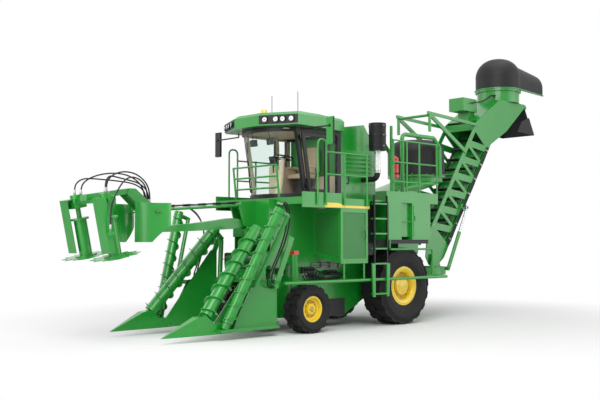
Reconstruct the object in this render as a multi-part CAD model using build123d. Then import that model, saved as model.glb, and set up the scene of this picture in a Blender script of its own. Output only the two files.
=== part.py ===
"""Self-propelled sugarcane harvester on four wheels, as separate named solids.

Lengths are millimetres. X points forward, Y to the machine's left and Z up from the ground.
Stations along X are measured from the rear axle; the finished solids are moved along X by
REAR_AXLE_X so that the origin lies under the middle of the whole machine.
"""
import os
from math import cos, sin, tan, radians, sqrt, pi

from build123d import *

# Driving dimensions
REAR_AXLE_X = -17.5
WHEELBASE = 2584.0
RUNNING_GAP = 0.3
NOSE_X = WHEELBASE + 466.0

REAR_TYRE_RADIUS = 770.0
REAR_TYRE_WIDTH = 550.0
REAR_TYRE_Y = 920.0
REAR_RIM_RADIUS = 383.0
FRONT_TYRE_RADIUS = 437.0
FRONT_TYRE_WIDTH = 400.0
FRONT_TYRE_Y = 1000.0
FRONT_RIM_RADIUS = 229.0
KINGPIN_Y = 660.0
LUG_HEIGHT = 26.0
REAR_LUGS = 18
FRONT_LUGS = 14

WALL_Y = 500.0
BEAM_BOTTOM = 1150.0
BEAM_TOP = 1400.0
DECK_BOTTOM = 2440.0
DECK_TOP = 2470.0
SIDE_Y = 1250.0
TYRE_CLEARANCE = 160.0
TANK_BOTTOM = 2 * REAR_TYRE_RADIUS + TYRE_CLEARANCE
COOLER_WALL = 30.0
SCREEN_DEPTH = 12.0

SWING_X = -1850.0
LIFT_PIN_Z = 1300.0
TROUGH_Y = 430.0
HEAD_X = -5170.0

BOOM_REAR = (NOSE_X + 250.0, 2000.0)
LINK_VECTOR = (2000.0, -140.0)
LINK_OFFSET = (100.0, 330.0)
TOPPER_TILT = 12.0
DRUM_REACH = 980.0
DRUM_Y = 450.0

DIVIDER_PIN = (NOSE_X + 280.0, 900.0)
CAB_Y = 760.0


# Shape helpers
def box(x0, x1, y0, y1, z0, z1):
    """Block between two corners."""
    return Solid.make_box(x1 - x0, y1 - y0, z1 - z0, Plane((x0, y0, z0)))


def rod(a, b, radius):
    """Round bar from point a to point b."""
    a, b = Vector(*a), Vector(*b)
    return Solid.make_cylinder(radius, (b - a).length, Plane(origin=a, z_dir=b - a))


def side_plate(points, y0, y1):
    """Outline given in the XZ plane, thick from y0 to y1."""
    face = Face(Wire.make_polygon([(x, y0, z) for x, z in points]))
    return Solid.extrude(face, Vector(0, y1 - y0, 0))


def plan_plate(points, z0, z1):
    """Outline given in the XY plane, thick from z0 to z1."""
    face = Face(Wire.make_polygon([(x, y, z0) for x, y in points]))
    return Solid.extrude(face, Vector(0, 0, z1 - z0))


def cross_plate(points, x0, x1):
    """Outline given in the YZ plane, thick from x0 to x1."""
    face = Face(Wire.make_polygon([(x0, y, z) for y, z in points]))
    return Solid.extrude(face, Vector(x1 - x0, 0, 0))


def bar(a, b, depth, y0, y1):
    """Flat bar in the XZ plane from a to b, thick from y0 to y1."""
    length = sqrt((b[0] - a[0]) ** 2 + (b[1] - a[1]) ** 2)
    nx = -(b[1] - a[1]) / length * depth / 2
    nz = (b[0] - a[0]) / length * depth / 2
    corners = [(a[0] + nx, a[1] + nz), (b[0] + nx, b[1] + nz),
               (b[0] - nx, b[1] - nz), (a[0] - nx, a[1] - nz)]
    return side_plate(corners, y0, y1)


def pipe(points, radius, bend):
    """Round tube along a line with rounded corners."""
    path = FilletPolyline(*points, radius=bend) if len(points) > 2 else Polyline(*points)
    section = Plane(origin=path @ 0, z_dir=path % 0) * Circle(radius)
    return sweep(section, path=path)


def turned_y(profile, x, z):
    """Closed outline of (radius, y) pairs turned about the line through x, z along Y."""
    face = Face(Wire.make_polygon([(x + r, y, z) for r, y in profile]))
    return revolve(face, axis=Axis((x, 0, z), (0, 1, 0)))


def turned_z(profile, x, y):
    """Closed outline of (radius, z) pairs turned about the upright line through x, y."""
    face = Face(Wire.make_polygon([(x + r, y, z) for r, z in profile]))
    return revolve(face, axis=Axis((x, y, 0), (0, 0, 1)))


def domed_z(rim, shoulder, crown, x, y):
    """Bell turned about an upright line: a straight wall, a round shoulder and a flat crown.

    rim, shoulder and crown are (radius, z) pairs: the wall's foot, the wall's top and the crown's edge.
    """
    (r0, z0), (r1, z1), (r2, z2) = rim, shoulder, crown
    bend = ((r1 + r2) / 2 + (r1 - r2) * 0.207, (z1 + z2) / 2 + (z2 - z1) * 0.207)
    wall = [Edge.make_line((x, y, z0), (x + r0, y, z0)), Edge.make_line((x + r0, y, z0), (x + r1, y, z1)),
            Edge.make_three_point_arc((x + r1, y, z1), (x + bend[0], y, bend[1]), (x + r2, y, z2)),
            Edge.make_line((x + r2, y, z2), (x, y, z2 + 4)), Edge.make_line((x, y, z2 + 4), (x, y, z0))]
    return revolve(Face(Wire(wall)), axis=Axis((x, y, 0), (0, 0, 1)))


def fuse(*shapes):
    """Join shapes into one part."""
    return Part() + list(shapes)


def both(shape):
    """A shape and its mirror image on the machine's other side."""
    return [shape, mirror(shape, about=Plane.XZ)]


def keep(name, *shapes):
    """Move the shapes into the shared frame and write them as one node."""
    flat = []
    for shape in shapes:
        flat.extend(shape.solids())
    moved = [Pos(REAR_AXLE_X, 0, 0) * solid for solid in flat]
    node = moved[0] if len(moved) == 1 else Compound(children=moved)
    export_step(node, f"parts/{name}.step")


os.makedirs("parts", exist_ok=True)


# Wheels
def faceted_ring(profile, x, z, steps):
    """Closed outline of (radius, y) pairs carried round the wheel's axis in flat steps."""
    def corner(k, r, y):
        angle = 2 * pi * k / steps
        return (x + r * cos(angle), y, z + r * sin(angle))

    faces = []
    for k in range(steps):
        for (r0, y0), (r1, y1) in zip(profile, profile[1:] + profile[:1]):
            faces.append(Face(Wire.make_polygon([corner(k, r0, y0), corner(k + 1, r0, y0), corner(k + 1, r1, y1),
                                                 corner(k, r1, y1)])))
    return Solid(Shell(faces))


def lug_row(x, z, radius, root, y0, y1, lugs, turn):
    """Row of tread blocks round a tyre, as a toothed ring between y0 and y1."""
    pitch = 2 * pi / lugs
    outline = []
    for k in range(lugs):
        start = k * pitch + turn
        for share, r in ((0.0, root), (0.06, radius), (0.56, radius), (0.62, root)):
            outline.append((x + r * cos(start + share * pitch), z + r * sin(start + share * pitch)))
    inner = [(x + (root - 26) * cos(k * pitch / 2), z + (root - 26) * sin(k * pitch / 2)) for k in range(2 * lugs)]
    return side_plate(outline, y0, y1) - side_plate(inner, y0 - 1, y1 + 1)


def tyre(x, y, z, radius, width, rim_radius, lugs):
    """Tyre casing in flat steps with two rows of tread blocks set half a pitch apart."""
    half = width / 2
    wall = 45
    root = radius - LUG_HEIGHT
    seat = (rim_radius + 6 + RUNNING_GAP) / cos(pi / (2 * lugs))
    profile = [(seat, -half + 50), (radius * 0.66, -half + 8), (radius * 0.82, -half), (root - 2, -half + 48),
               (root - 2, half - 48), (radius * 0.82, half),
               (radius * 0.66, half - 8), (seat, half - 50), (seat, half - 50 - wall),
               (root - 50, half - wall - 30), (root - 50, -half + wall + 30), (seat, -half + 50 + wall)]
    casing = faceted_ring([(r, y + s) for r, s in profile], x, z, 2 * lugs)
    rows = [lug_row(x, z, radius, root, y + y0, y + y1, lugs, turn)
            for y0, y1, turn in ((-half + 30, -12, 0.0), (12, half - 30, pi / lugs))]
    return fuse(casing, *rows)


def rim(x, y, z, rim_radius, width, hub_radius, side):
    """Dished rim with a blind bore for the stub axle; side is +1 on the left."""
    half = width / 2 - 50
    face = y + side * 60
    profile = [(rim_radius + 6, y - side * half), (rim_radius + 6, y + side * half),
               (rim_radius - 22, y + side * half), (rim_radius - 40, y + side * (half - 60)),
               (rim_radius - 90, face), (hub_radius + 60, face), (hub_radius + 40, face + side * 60),
               (0, face + side * 60), (0, face - side * 20),
               (hub_radius + RUNNING_GAP, face - side * 20), (hub_radius + RUNNING_GAP, face - side * 150),
               (hub_radius + 45, face - side * 150), (hub_radius + 60, face - side * 25),
               (rim_radius - 80, face - side * 25), (rim_radius - 20, y - side * half)]
    return turned_y(profile, x, z)


for side, letter in ((1, "l"), (-1, "r")):
    keep(f"rear_tyre_{letter}", tyre(0, side * REAR_TYRE_Y, REAR_TYRE_RADIUS, REAR_TYRE_RADIUS,
                                     REAR_TYRE_WIDTH, REAR_RIM_RADIUS, REAR_LUGS))
    keep(f"rear_rim_{letter}", rim(0, side * REAR_TYRE_Y, REAR_TYRE_RADIUS, REAR_RIM_RADIUS,
                                   REAR_TYRE_WIDTH, 130, side))
    keep(f"front_tyre_{letter}", tyre(WHEELBASE, side * FRONT_TYRE_Y, FRONT_TYRE_RADIUS, FRONT_TYRE_RADIUS,
                                      FRONT_TYRE_WIDTH, FRONT_RIM_RADIUS, FRONT_LUGS))
    keep(f"front_rim_{letter}", rim(WHEELBASE, side * FRONT_TYRE_Y, FRONT_TYRE_RADIUS, FRONT_RIM_RADIUS,
                                    FRONT_TYRE_WIDTH, 55, side))


# Chassis, axle and legs
def pin_y(point, radius, half):
    """Round pin across the machine at a point of the XZ plane."""
    return rod((point[0], -half, point[1]), (point[0], half, point[1]), radius)


BOOM_FRONT = (BOOM_REAR[0] + LINK_VECTOR[0], BOOM_REAR[1] + LINK_VECTOR[1])
UPPER_REAR = (BOOM_REAR[0] + LINK_OFFSET[0], BOOM_REAR[1] + LINK_OFFSET[1])
UPPER_FRONT = (BOOM_FRONT[0] + LINK_OFFSET[0], BOOM_FRONT[1] + LINK_OFFSET[1])


def chassis_frame():
    beams = both(box(-1180, NOSE_X, 420, WALL_Y, BEAM_BOTTOM, BEAM_TOP))
    drops = both(box(-1180, -1000, 420, WALL_Y, 930, BEAM_BOTTOM))
    tongue = fuse(box(SWING_X, -1000, -WALL_Y, WALL_Y, 860, 930),
                  rod((SWING_X, 0, 860), (SWING_X, 0, 930), WALL_Y),
                  rod((SWING_X, 0, 930), (SWING_X, 0, 1080), 120))
    cross = [box(NOSE_X - 100, NOSE_X, -420, 420, BEAM_BOTTOM, BEAM_TOP), box(1500, 1600, -420, 420, BEAM_BOTTOM, BEAM_TOP),
             box(-640, -600, -WALL_Y, WALL_Y, BEAM_BOTTOM, DECK_BOTTOM)]
    gearbox = box(NOSE_X - 90, NOSE_X + 150, -420, 420, 900, BEAM_BOTTOM)
    frame = fuse(*beams, *drops, tongue, *cross, gearbox)
    for y in (-260, 260):
        frame = frame - rod(cutter_point(y, 640), cutter_point(y, 900), 50 + RUNNING_GAP)
    return frame


def cutter_point(y, distance):
    """Point on a base cutter's shaft, measured up from its disc."""
    tilt = radians(10)
    return (NOSE_X - 120 + distance * sin(tilt), y, 130 + distance * cos(tilt))


keep("chassis_frame", chassis_frame())

hub_z = REAR_TYRE_RADIUS
axle = fuse(rod((0, -640, hub_z), (0, 640, hub_z), 110), *both(rod((0, 480, hub_z), (0, 640, hub_z), 210)),
            *both(rod((0, 600, hub_z), (0, REAR_TYRE_Y + 39.5, hub_z), 130)),
            *both(box(-150, 150, 420, WALL_Y, hub_z - 70, BEAM_BOTTOM)))
keep("rear_axle", axle)


def front_leg():
    x, y = WHEELBASE, KINGPIN_Y
    column = fuse(rod((x, y, 760), (x, y, 1420), 75), rod((x, y, 560), (x, y, 760), 52),
                  rod((x, y, 300), (x, y, 560), 40), rod((x, y, 270), (x, y, 305), 60))
    brackets = [box(x - 80, x + 80, 520, 640, 1240, 1360), box(x - 80, x + 80, 520, 640, 900, 1000)]
    return fuse(column, *brackets)


keep("front_legs", *both(front_leg()))


def knuckle():
    x, y, z = WHEELBASE, KINGPIN_Y, FRONT_TYRE_RADIUS
    body = fuse(rod((x, y, 310), (x, y, 555), 72), rod((x, y, z), (x, FRONT_TYRE_Y + 39.5, z), 55),
                box(x - 230, x, y - 25, y + 25, 480, 520))
    return body - rod((x, y, 250), (x, y, 600), 40 + RUNNING_GAP)


left_knuckle = knuckle()
keep("knuckle_l", left_knuckle)
keep("knuckle_r", mirror(left_knuckle, about=Plane.XZ))


# Throat walls, belly and bulkhead that carries the topper
def throat_housing():
    nose = NOSE_X
    wall = side_plate([(nose, DECK_BOTTOM), (nose, 260), (1150, 200), (430, 560), (430, 1400), (900, 1400),
                       (900, DECK_BOTTOM)], WALL_Y, 520)
    roller_arm = side_plate([(nose, 1220), (nose + 250, 1220), (nose + 250, 1440), (nose, 1440)], WALL_Y, 520)
    divider_arm = side_plate([(nose - 100, 820), (nose + 340, 820), (nose + 340, 980), (nose - 100, 980)], 520, 545)
    divider_pin = rod((DIVIDER_PIN[0], 545, DIVIDER_PIN[1]), (DIVIDER_PIN[0], 640, DIVIDER_PIN[1]), 35)
    roller_pin = rod((nose + 180, 430, 1330), (nose + 180, WALL_Y, 1330), 35)
    arm_web = side_plate([(nose, 820), (nose + 340, 820), (nose + 340, 980), (nose, 980)], WALL_Y, 520)
    belly = side_plate([(nose - 450, 250), (1150, 205), (430, 565), (430, 595), (1150, 235), (nose - 450, 280)],
                       -WALL_Y, WALL_Y)
    bulkhead = box(nose, nose + 40, -520, 520, 1750, DECK_BOTTOM)
    lug = side_plate([(nose + 40, 1880), (nose + 200, 1920), (nose + 320, 1960), (nose + 420, 2300),
                      (nose + 390, 2400), (nose + 40, 2420)], 105, 135)
    pins = [pin_y(BOOM_REAR, 30, 135), pin_y(UPPER_REAR, 25, 135)]
    half = fuse(wall, roller_arm, roller_pin, arm_web)
    arm = fuse(divider_arm, divider_pin)
    return [*both(half), *both(arm), belly, fuse(bulkhead, *both(lug), *pins)]


keep("throat_housing", *throat_housing())
keep("belly_curtains", *both(box(1090, 1540, 520 + RUNNING_GAP, 532, 210, 550)))
keep("engine_block", box(300, 1350, -480, 480, BEAM_TOP, 2300))


# Boxes along the sides
def cooler_box():
    """Radiator cabinet with framed screens sunk in its front and outer faces and a floor rising inwards."""
    x0, x1, inner, low, high = 1200, 1950, 520, 1250, 2280
    rise = 150
    outer = cross_plate([(inner, low + rise), (SIDE_Y, low), (SIDE_Y, high), (inner, high)], x0, x1)
    w = COOLER_WALL
    hollow = cross_plate([(inner + w, low + rise + w), (SIDE_Y - w, low + w), (SIDE_Y - w, high - w),
                          (inner + w, high - w)], x0 + w, x1 - w)
    side_screen = box(x0 + 60, x1 - 60, SIDE_Y - SCREEN_DEPTH, SIDE_Y + 1, low + 90, high - 70)
    front_screen = cross_plate([(inner + 60, low + rise + 70), (SIDE_Y - 70, low + 95), (SIDE_Y - 70, high - 70),
                                (inner + 60, high - 70)], x1 - SCREEN_DEPTH, x1 + 1)
    return outer - [hollow, side_screen, front_screen]


keep("cooler_boxes", *both(cooler_box()))


def tanks():
    """Fuel and oil tanks over the rear wheel with a door, a grab rail and a skirt."""
    low = TANK_BOTTOM
    front = box(190, 590, 700, SIDE_Y, low, DECK_BOTTOM)
    rear = box(-740, -150, 700, SIDE_Y, low, DECK_BOTTOM)
    recess = box(-150, 190, 700, 1180, low + 60, DECK_BOTTOM)
    screen = box(590, 1200, 900, 920, low - 300, DECK_BOTTOM)
    hollow = [box(210, 570, 720, SIDE_Y - 20, low + 20, 2420), box(-720, -170, 720, SIDE_Y - 20, low + 20, 2420),
              box(-130, 170, 720, 1160, low + 80, 2420)]
    door = box(-700, -190, SIDE_Y, SIDE_Y + 8, low + 40, DECK_BOTTOM - 40)
    latch = box(-250, -215, SIDE_Y, SIDE_Y + 24, 2090, 2180)
    skirt = box(-720, 570, 1150, 1205, low - 80, low)
    grab = rod((-180, 1225, 2060), (220, 1225, 2060), 11)
    return fuse(front, rear, recess, screen, door, latch, skirt, grab) - hollow


keep("side_tanks", *both(tanks()))


def deck():
    outline = [(2940, -SIDE_Y), (2940, SIDE_Y), (-1000, SIDE_Y), (-1000, 470), (-640, 470), (-640, -470),
               (-1000, -470), (-1000, -SIDE_Y)]
    plate = plan_plate(outline, DECK_BOTTOM, DECK_TOP)
    fascia = both(box(1140, 2940, 1230, SIDE_Y, 2280, DECK_BOTTOM))
    kick = both(box(-1000, 640, 1230, SIDE_Y, DECK_TOP, DECK_TOP + 190))
    cab_kick = both(box(1890, 2940, 1230, SIDE_Y, DECK_TOP, DECK_TOP + 90))
    front = box(2920, 2940, -1230, 1230, 2340, DECK_BOTTOM)
    notch = box(2900, 2960, -545, 545, 2300, DECK_BOTTOM)
    return fuse(plate, *fascia, *kick, *cab_kick, front - notch)


keep("deck", deck())


def ladder():
    """Boarding ladder with tapered foot plates; the bump rail passes where one step would be."""
    rails = [box(x, x + 30, 1300, 1330, 1180, 2560) for x in (700, 1070)]
    feet = [box(x, x + 30, SIDE_Y, 1300, DECK_BOTTOM, DECK_TOP) for x in (700, 1070)]
    plates = [side_plate([(x, 600), (x, 1240), (x - step, 1240), (x - step * 0.55, 600)], 1300, 1330)
              for x, step in ((700, 60), (1100, -60))]
    plates.append(box(700, 730, 1300, 1330, 600, 1240))
    plates.append(box(1070, 1100, 1300, 1330, 600, 1240))
    steps = [box(730, 1070, 1210, 1330, z, z + 30) for z in (640, 1220, 1510, 1800, 2090, 2380)]
    return fuse(*rails, *feet, *plates, *steps)


keep("ladder", ladder())


# Engine housing behind the cab
def engine_housing():
    """Sheet housing behind the cab with louvred sides."""
    outline = [(1400, DECK_TOP), (1400, 3900), (700, 4010), (350, 3560), (350, DECK_TOP)]
    inner = [(1385, DECK_TOP - 10), (1385, 3885), (706, 3993), (365, 3552), (365, DECK_TOP - 10)]
    shell = side_plate(outline, -700, 700) - side_plate(inner, -685, 685)
    louvres = []
    for k in range(6):
        z = 3010 + 85 * k
        blade = cross_plate([(700, z), (722, z - 40), (722, z - 28), (700, z + 30)], 480, 1280)
        louvres.extend(both(blade))
    return fuse(shell, *louvres)


keep("engine_housing", engine_housing())


# Cab
def leaning_post(foot_x, head_x, depth, y0, y1):
    return side_plate([(foot_x, 2560), (head_x, 3800), (head_x - depth, 3800), (foot_x - depth, 2560)], y0, y1)


def bowed_face(half, x_side, x_mid, x_back, z):
    """Plan outline with a bowed front edge and a straight back edge."""
    front = Edge.make_three_point_arc((x_side, -half, z), (x_mid, 0, z), (x_side, half, z))
    back = Wire.make_polygon([(x_side, half, z), (x_back, half, z), (x_back, -half, z), (x_side, -half, z)],
                             close=False)
    return Face(Wire([front] + list(back.edges())))


def hinge_line(z):
    """Point of the door's leaning hinge line at a height."""
    return (2345 + (z - 2575) * 220 / 1240, 805, z)


def cab_frame():
    floor = Solid.extrude(bowed_face(CAB_Y, 2400, 2830, 1430, DECK_TOP), Vector(0, 0, 90))
    posts = []
    for y0 in (CAB_Y - 70, -CAB_Y):
        posts.append(leaning_post(2420, 2640, 80, y0, y0 + 70))
        posts.append(leaning_post(1530, 1530, 100, y0, y0 + 70))
        posts.append(leaning_post(1835, 1835, 90, y0, y0 + 70))
    top = Solid.extrude(bowed_face(CAB_Y, 2640, 3030, 1430, 3720), Vector(0, 0, 80))
    top = top - Solid.extrude(bowed_face(690, 2560, 2930, 1530, 3700), Vector(0, 0, 120))
    rear = box(1430, 1460, -690, 690, 2560, 2950)
    lugs = []
    for z0, z1 in ((2660, 2690), (3560, 3590)):
        front, back = hinge_line(z0), hinge_line(z1)
        lugs.append(side_plate([(front[0] - 8, z0), (front[0] + 20, z0), (back[0] + 20, z1), (back[0] - 8, z1)],
                               CAB_Y, 805))
        lugs.append(rod(hinge_line(z0), hinge_line(z1 + 60), 10))
    return fuse(floor, *posts, top, rear, *lugs)


keep("cab_frame", cab_frame())


ROOF_HALF = [(3200.0, 360.0), (2860.0, 1050.0), (2300.0, 1000.0), (1440.0, 860.0)]


def roof_outline(inset, back_inset, z):
    """Roof plan at a height, drawn in from the front and sides."""
    left = [(x - inset if x > 2000 else x + back_inset, y - inset * 0.8) for x, y in ROOF_HALF]
    points = left + [(x, -y) for x, y in reversed(left)]
    return Face(Wire.make_polygon([(x, y, z) for x, y in points]))


def cab_roof():
    """Roof box with upright lamp faces and a crowned top."""
    rim = Solid.extrude(roof_outline(0, 0, 3800), Vector(0, 0, 190))
    crown = loft([roof_outline(0, 0, 3990), roof_outline(60, 40, 4045), roof_outline(260, 200, 4085)], ruled=True)
    hollow = Solid.extrude(roof_outline(40, 30, 3830), Vector(0, 0, 155))
    return fuse(rim, crown) - hollow


keep("cab_roof", cab_roof())


def cab_glass():
    lean = Vector(1160 * 220 / 1240, 0, 1160)
    outer = Solid.extrude(bowed_face(690, 2416, 2800, 2300, 2560), lean)
    inner = Solid.extrude(bowed_face(720, 2391, 2792, 2200, 2560), lean)
    shield = outer - inner
    right = side_plate([(2340, 2560), (2340 + lean.X, 3720), (1835, 3720), (1835, 2560)], -750, -742)
    rear = box(1440, 1448, -690, 690, 2950, 3720)
    quarters = both(box(1530, 1745, 742, 750, 2560, 3720))
    return [shield, right, rear, *quarters]


keep("cab_glass", *cab_glass())


def operator_station():
    seat = fuse(box(1500, 1980, -250, 250, 2900, 3000), box(1480, 1600, -240, 240, 3000, 3560),
                box(1560, 1900, -180, 180, 2560, 2900))
    column = fuse(rod((2420, 0, 2560), (2260, 0, 3290), 40), rod((2262, 0, 3280), (2252, 0, 3310), 190))
    column = column & box(2000, 2700, -300, 300, 2560, 3400)
    console = box(1600, 2200, -520, -300, 2560, 3150)
    return [seat, column, console]


keep("operator_station", *operator_station())


def cab_door():
    leaf = side_plate([(2330, 2575), (2530, 3705), (1840, 3705), (1840, 2575)], 768, 796)
    window = side_plate([(2262, 2655), (2440, 3640), (1905, 3640), (1905, 2655)], 760, 800)
    knuckles = [rod(hinge_line(z), hinge_line(z + 50), 20) for z in (2696, 3596)]
    pins = [rod(hinge_line(z), hinge_line(z + 100), 10 + RUNNING_GAP) for z in (2660, 3560)]
    return fuse(leaf - window, *knuckles) - pins


keep("cab_door", cab_door())
keep("door_glass", side_plate([(2262, 2655), (2440, 3640), (1905, 3640), (1905, 2655)], 778, 786))


def mirror_arm():
    arm = pipe([(2640, 900, 3790), (2640, 900, 3740), (2600, 1640, 3740), (2600, 1640, 3500)], 14, 30)
    return fuse(arm, box(2570, 2615, 1540, 1680, 3400, 3900))


keep("mirrors", *both(fuse(rod((2640, 900, 3740), (2640, 900, 3800), 14),
                           rod((2640, 900, 3740), (2600, 1640, 3740), 14),
                           box(2570, 2615, 1530, 1690, 3400, 3900))))


# Rails, ladder side guards, exhaust and safety gear
def front_rail():
    posts = [rod((2930, y, DECK_TOP), (3005, y, 3090), 20) for y in (-620, 620)]
    bars = [rod((2930 + (z - DECK_TOP) * 75 / 620, -620, z), (2930 + (z - DECK_TOP) * 75 / 620, 620, z), 18)
            for z in (2660, 2870, 3075)]
    shape = fuse(*posts, *bars)
    return shape & box(2800, 3100, -700, 700, DECK_TOP, 3100)


def door_rail():
    hoop = pipe([(2580, 1275, 2330), (2580, 1275, 3530), (2360, 1275, 3530), (2360, 1275, 2330)], 18, 90)
    posts = [rod((x, 1275, 2330), (x, 1275, 3330), 18) for x in (1870, 1250)]
    bars = [rod((2360, 1275, z), (1232, 1275, z), 16) for z in (2900, 3310)]
    feet = [rod((x, SIDE_Y, 2380), (x, 1275, 2380), 16) for x in (2580, 2360, 1870, 1250)]
    return fuse(hoop, *posts, *bars, *feet)


def rear_rail():
    posts = [rod((x, 1240, 2660), (x, 1240, 3690), 18) for x in (420, 0, -400, -980)]
    bars = [rod((438, 1240, z), (-998, 1240, z), 16) for z in (2860, 3250, 3690)]
    return fuse(*posts, *bars)


def bump_rail():
    run = pipe([(NOSE_X + 340, 1265, 930), (-1290, 1265, 930), (-1290, 900, 930), (-1090, 640, 930), (-1090, WALL_Y, 930)],
               30, 60)
    hangers = [rod((x, 1235, 930), (x, 1235, 1250), 20) for x in (1300, 1850)]
    upright = pipe([(-780, 1265, 930), (-780, 1265, 1510), (560, 1265, 1510)], 22, 60)
    stay = rod((540, 1236, 1510), (540, 1236, 1700), 20)
    return fuse(run, *hangers, upright, stay, rod((540, 1265, 1510), (540, 1236, 1510), 22))


keep("hand_rails", front_rail(), *both(door_rail()), *both(rear_rail()), *both(bump_rail()))

stack = fuse(rod((740, 1100, 3460), (740, 1100, 4000), 170),
             pipe([(740, 1100, 3470), (740, 1100, 2900), (740, 700, 2900)], 55, 120))
keep("exhaust_stack", stack)

post = fuse(rod((320, 1100, DECK_TOP), (320, 1100, 3990), 30), rod((205, 1100, 2950), (205, 1100, 3340), 75),
            box(205, 320, 1085, 1115, 3120, 3160))
keep("safety_gear", post, *both(box(WHEELBASE - 60, WHEELBASE + 60, 600, 720, 1420, 1490)))


# Cleaning chamber, duct and extractor ring
def extractor_tower():
    chamber = box(-1330, -650, -450, 450, BEAM_TOP, 2760) - box(-1315, -665, -435, 435, BEAM_TOP - 10, 2770)
    chamber = chamber - box(-1340, -1300, -400, 400, BEAM_TOP - 10, 1750)
    low = Plane((-990, 0, 2760)) * Rectangle(680, 900)
    high = Plane((SWING_X, 0, 3000)) * Circle(590)
    low_in = Plane((-990, 0, 2760)) * Rectangle(650, 870)
    high_in = Plane((SWING_X, 0, 3000)) * Circle(575)
    duct = loft([low, high], ruled=True) - loft([low_in, high_in], ruled=True)
    ring = turned_z([(575, 3000), (590, 3000), (590, 3100), (640, 3100), (640, 3140), (575, 3140)], SWING_X, 0)
    motor = fuse(rod((SWING_X, 0, 3010), (SWING_X, 0, 3120), 130), box(SWING_X - 580, SWING_X + 580, -30, 30, 3020, 3080),
                 rod((SWING_X, 0, 3120), (SWING_X, 0, 3245), 45))
    return fuse(chamber, duct, ring, motor)


def mast_tube():
    tube = pipe([(-480, 720, DECK_TOP), (-480, 720, 3930), (-1560, 720, 3930), (-1760, 720, 3730),
                 (-1760, 720, 3120)], 45, 110)
    return fuse(tube, box(-1790, -1730, 640, 720, 3105, 3140))


keep("extractor_tower", extractor_tower(), *both(mast_tube()))


def primary_hood():
    """Black bell over the main extractor with a side mouth."""
    foot = 3140 + RUNNING_GAP
    outer = domed_z((628, foot), (628, 3650), (370, 3940), SWING_X, 0)
    inner = domed_z((614, foot - 5), (614, 3650), (366, 3926), SWING_X, 0)
    mouth = box(SWING_X - 430, SWING_X + 430, -700, -330, 3260, 3780)
    return outer - inner - mouth


keep("primary_hood", primary_hood())


def fan(x, z, radius, hub_radius, bore, blades):
    hub = rod((x, 0, z), (x, 0, z + 120), hub_radius)
    parts = [hub]
    for k in range(blades):
        blade = box(hub_radius - 20, radius, -70, 70, 50, 62)
        blade = Rot(0, 0, 360 / blades * k) * (Rot(22, 0, 0) * Pos(0, 0, -56) * blade)
        parts.append(Pos(x, 0, z + 60) * blade)
    return fuse(*parts) - rod((x, 0, z - 5), (x, 0, z + 100), bore)


keep("primary_fan", fan(SWING_X, 3150, 540, 110, 45 + RUNNING_GAP, 4))


# Base cutters and knockdown roller
def base_cutter(y):
    foot = cutter_point(y, 0)
    tilted = Plane(origin=foot, z_dir=Vector(*cutter_point(y, 100)) - Vector(*foot), x_dir=(1, 0, -0.1763))
    disc = tilted * Cylinder(205, 14)
    shaft = rod(cutter_point(y, 0), cutter_point(y, 880), 50)
    cone_part = Solid.make_cone(120, 55, 160, tilted)
    blades = []
    for k in range(5):
        blades.append(tilted * (Rot(0, 0, 72 * k + 18) * Pos(205, 0, -12) * Box(90, 60, 10)))
    return fuse(disc, shaft, cone_part, *blades)


keep("basecutter_l", base_cutter(260))
keep("basecutter_r", base_cutter(-260))


def knockdown_roller():
    x = NOSE_X + 180
    drum = rod((x, -480, 1330), (x, 480, 1330), 95)
    fins = [Pos(x, 0, 1330) * (Rot(0, 60 * k, 0) * Pos(115, 0, 0) * Box(50, 960, 14)) for k in range(6)]
    bores = both(rod((x, 425, 1330), (x, 500, 1330), 35 + RUNNING_GAP))
    return fuse(drum, *fins) - bores


keep("knockdown_roller", knockdown_roller())


# Crop dividers and scrolls
INNER_SCROLL = ((NOSE_X + 1710, 810.0, 410.0), (NOSE_X + 460, 600.0, 1840.0), 115.0, 165.0)
OUTER_SCROLL = ((NOSE_X + 1400, 1000.0, 300.0), (NOSE_X + 660, 1450.0, 2140.0), 90.0, 125.0)


def along(scroll, distance, from_top=False):
    """Point on a scroll's axis, measured up from its base or its top."""
    base, top = Vector(*scroll[0]), Vector(*scroll[1])
    unit = (top - base).normalized()
    return (top if from_top else base) + unit * distance


def scroll_solid(scroll, turns, hand):
    base, top, tube_radius, flight_radius = scroll
    length = (Vector(*top) - Vector(*base)).length
    tube = Cylinder(tube_radius, length, align=(Align.CENTER, Align.CENTER, Align.MIN))
    mid = (tube_radius + flight_radius) / 2 - 6
    path = Helix(pitch=(length - 80) / turns, height=length - 80, radius=mid, lefthand=hand < 0)
    section = Plane(origin=path @ 0, z_dir=path % 0, x_dir=(1, 0, 0)) * Rectangle(
        flight_radius - tube_radius + 12, 12)
    flight = Pos(0, 0, 40) * sweep(section, path=path, is_frenet=True)
    shape = fuse(tube, flight) - Cylinder(40 + RUNNING_GAP, 90, align=(Align.CENTER, Align.CENTER, Align.MIN))
    shape = shape - Pos(0, 0, length - 90) * Cylinder(40 + RUNNING_GAP, 90,
                                                     align=(Align.CENTER, Align.CENTER, Align.MIN))
    place = Plane(origin=base, z_dir=Vector(*top) - Vector(*base))
    return place.location * shape


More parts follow.
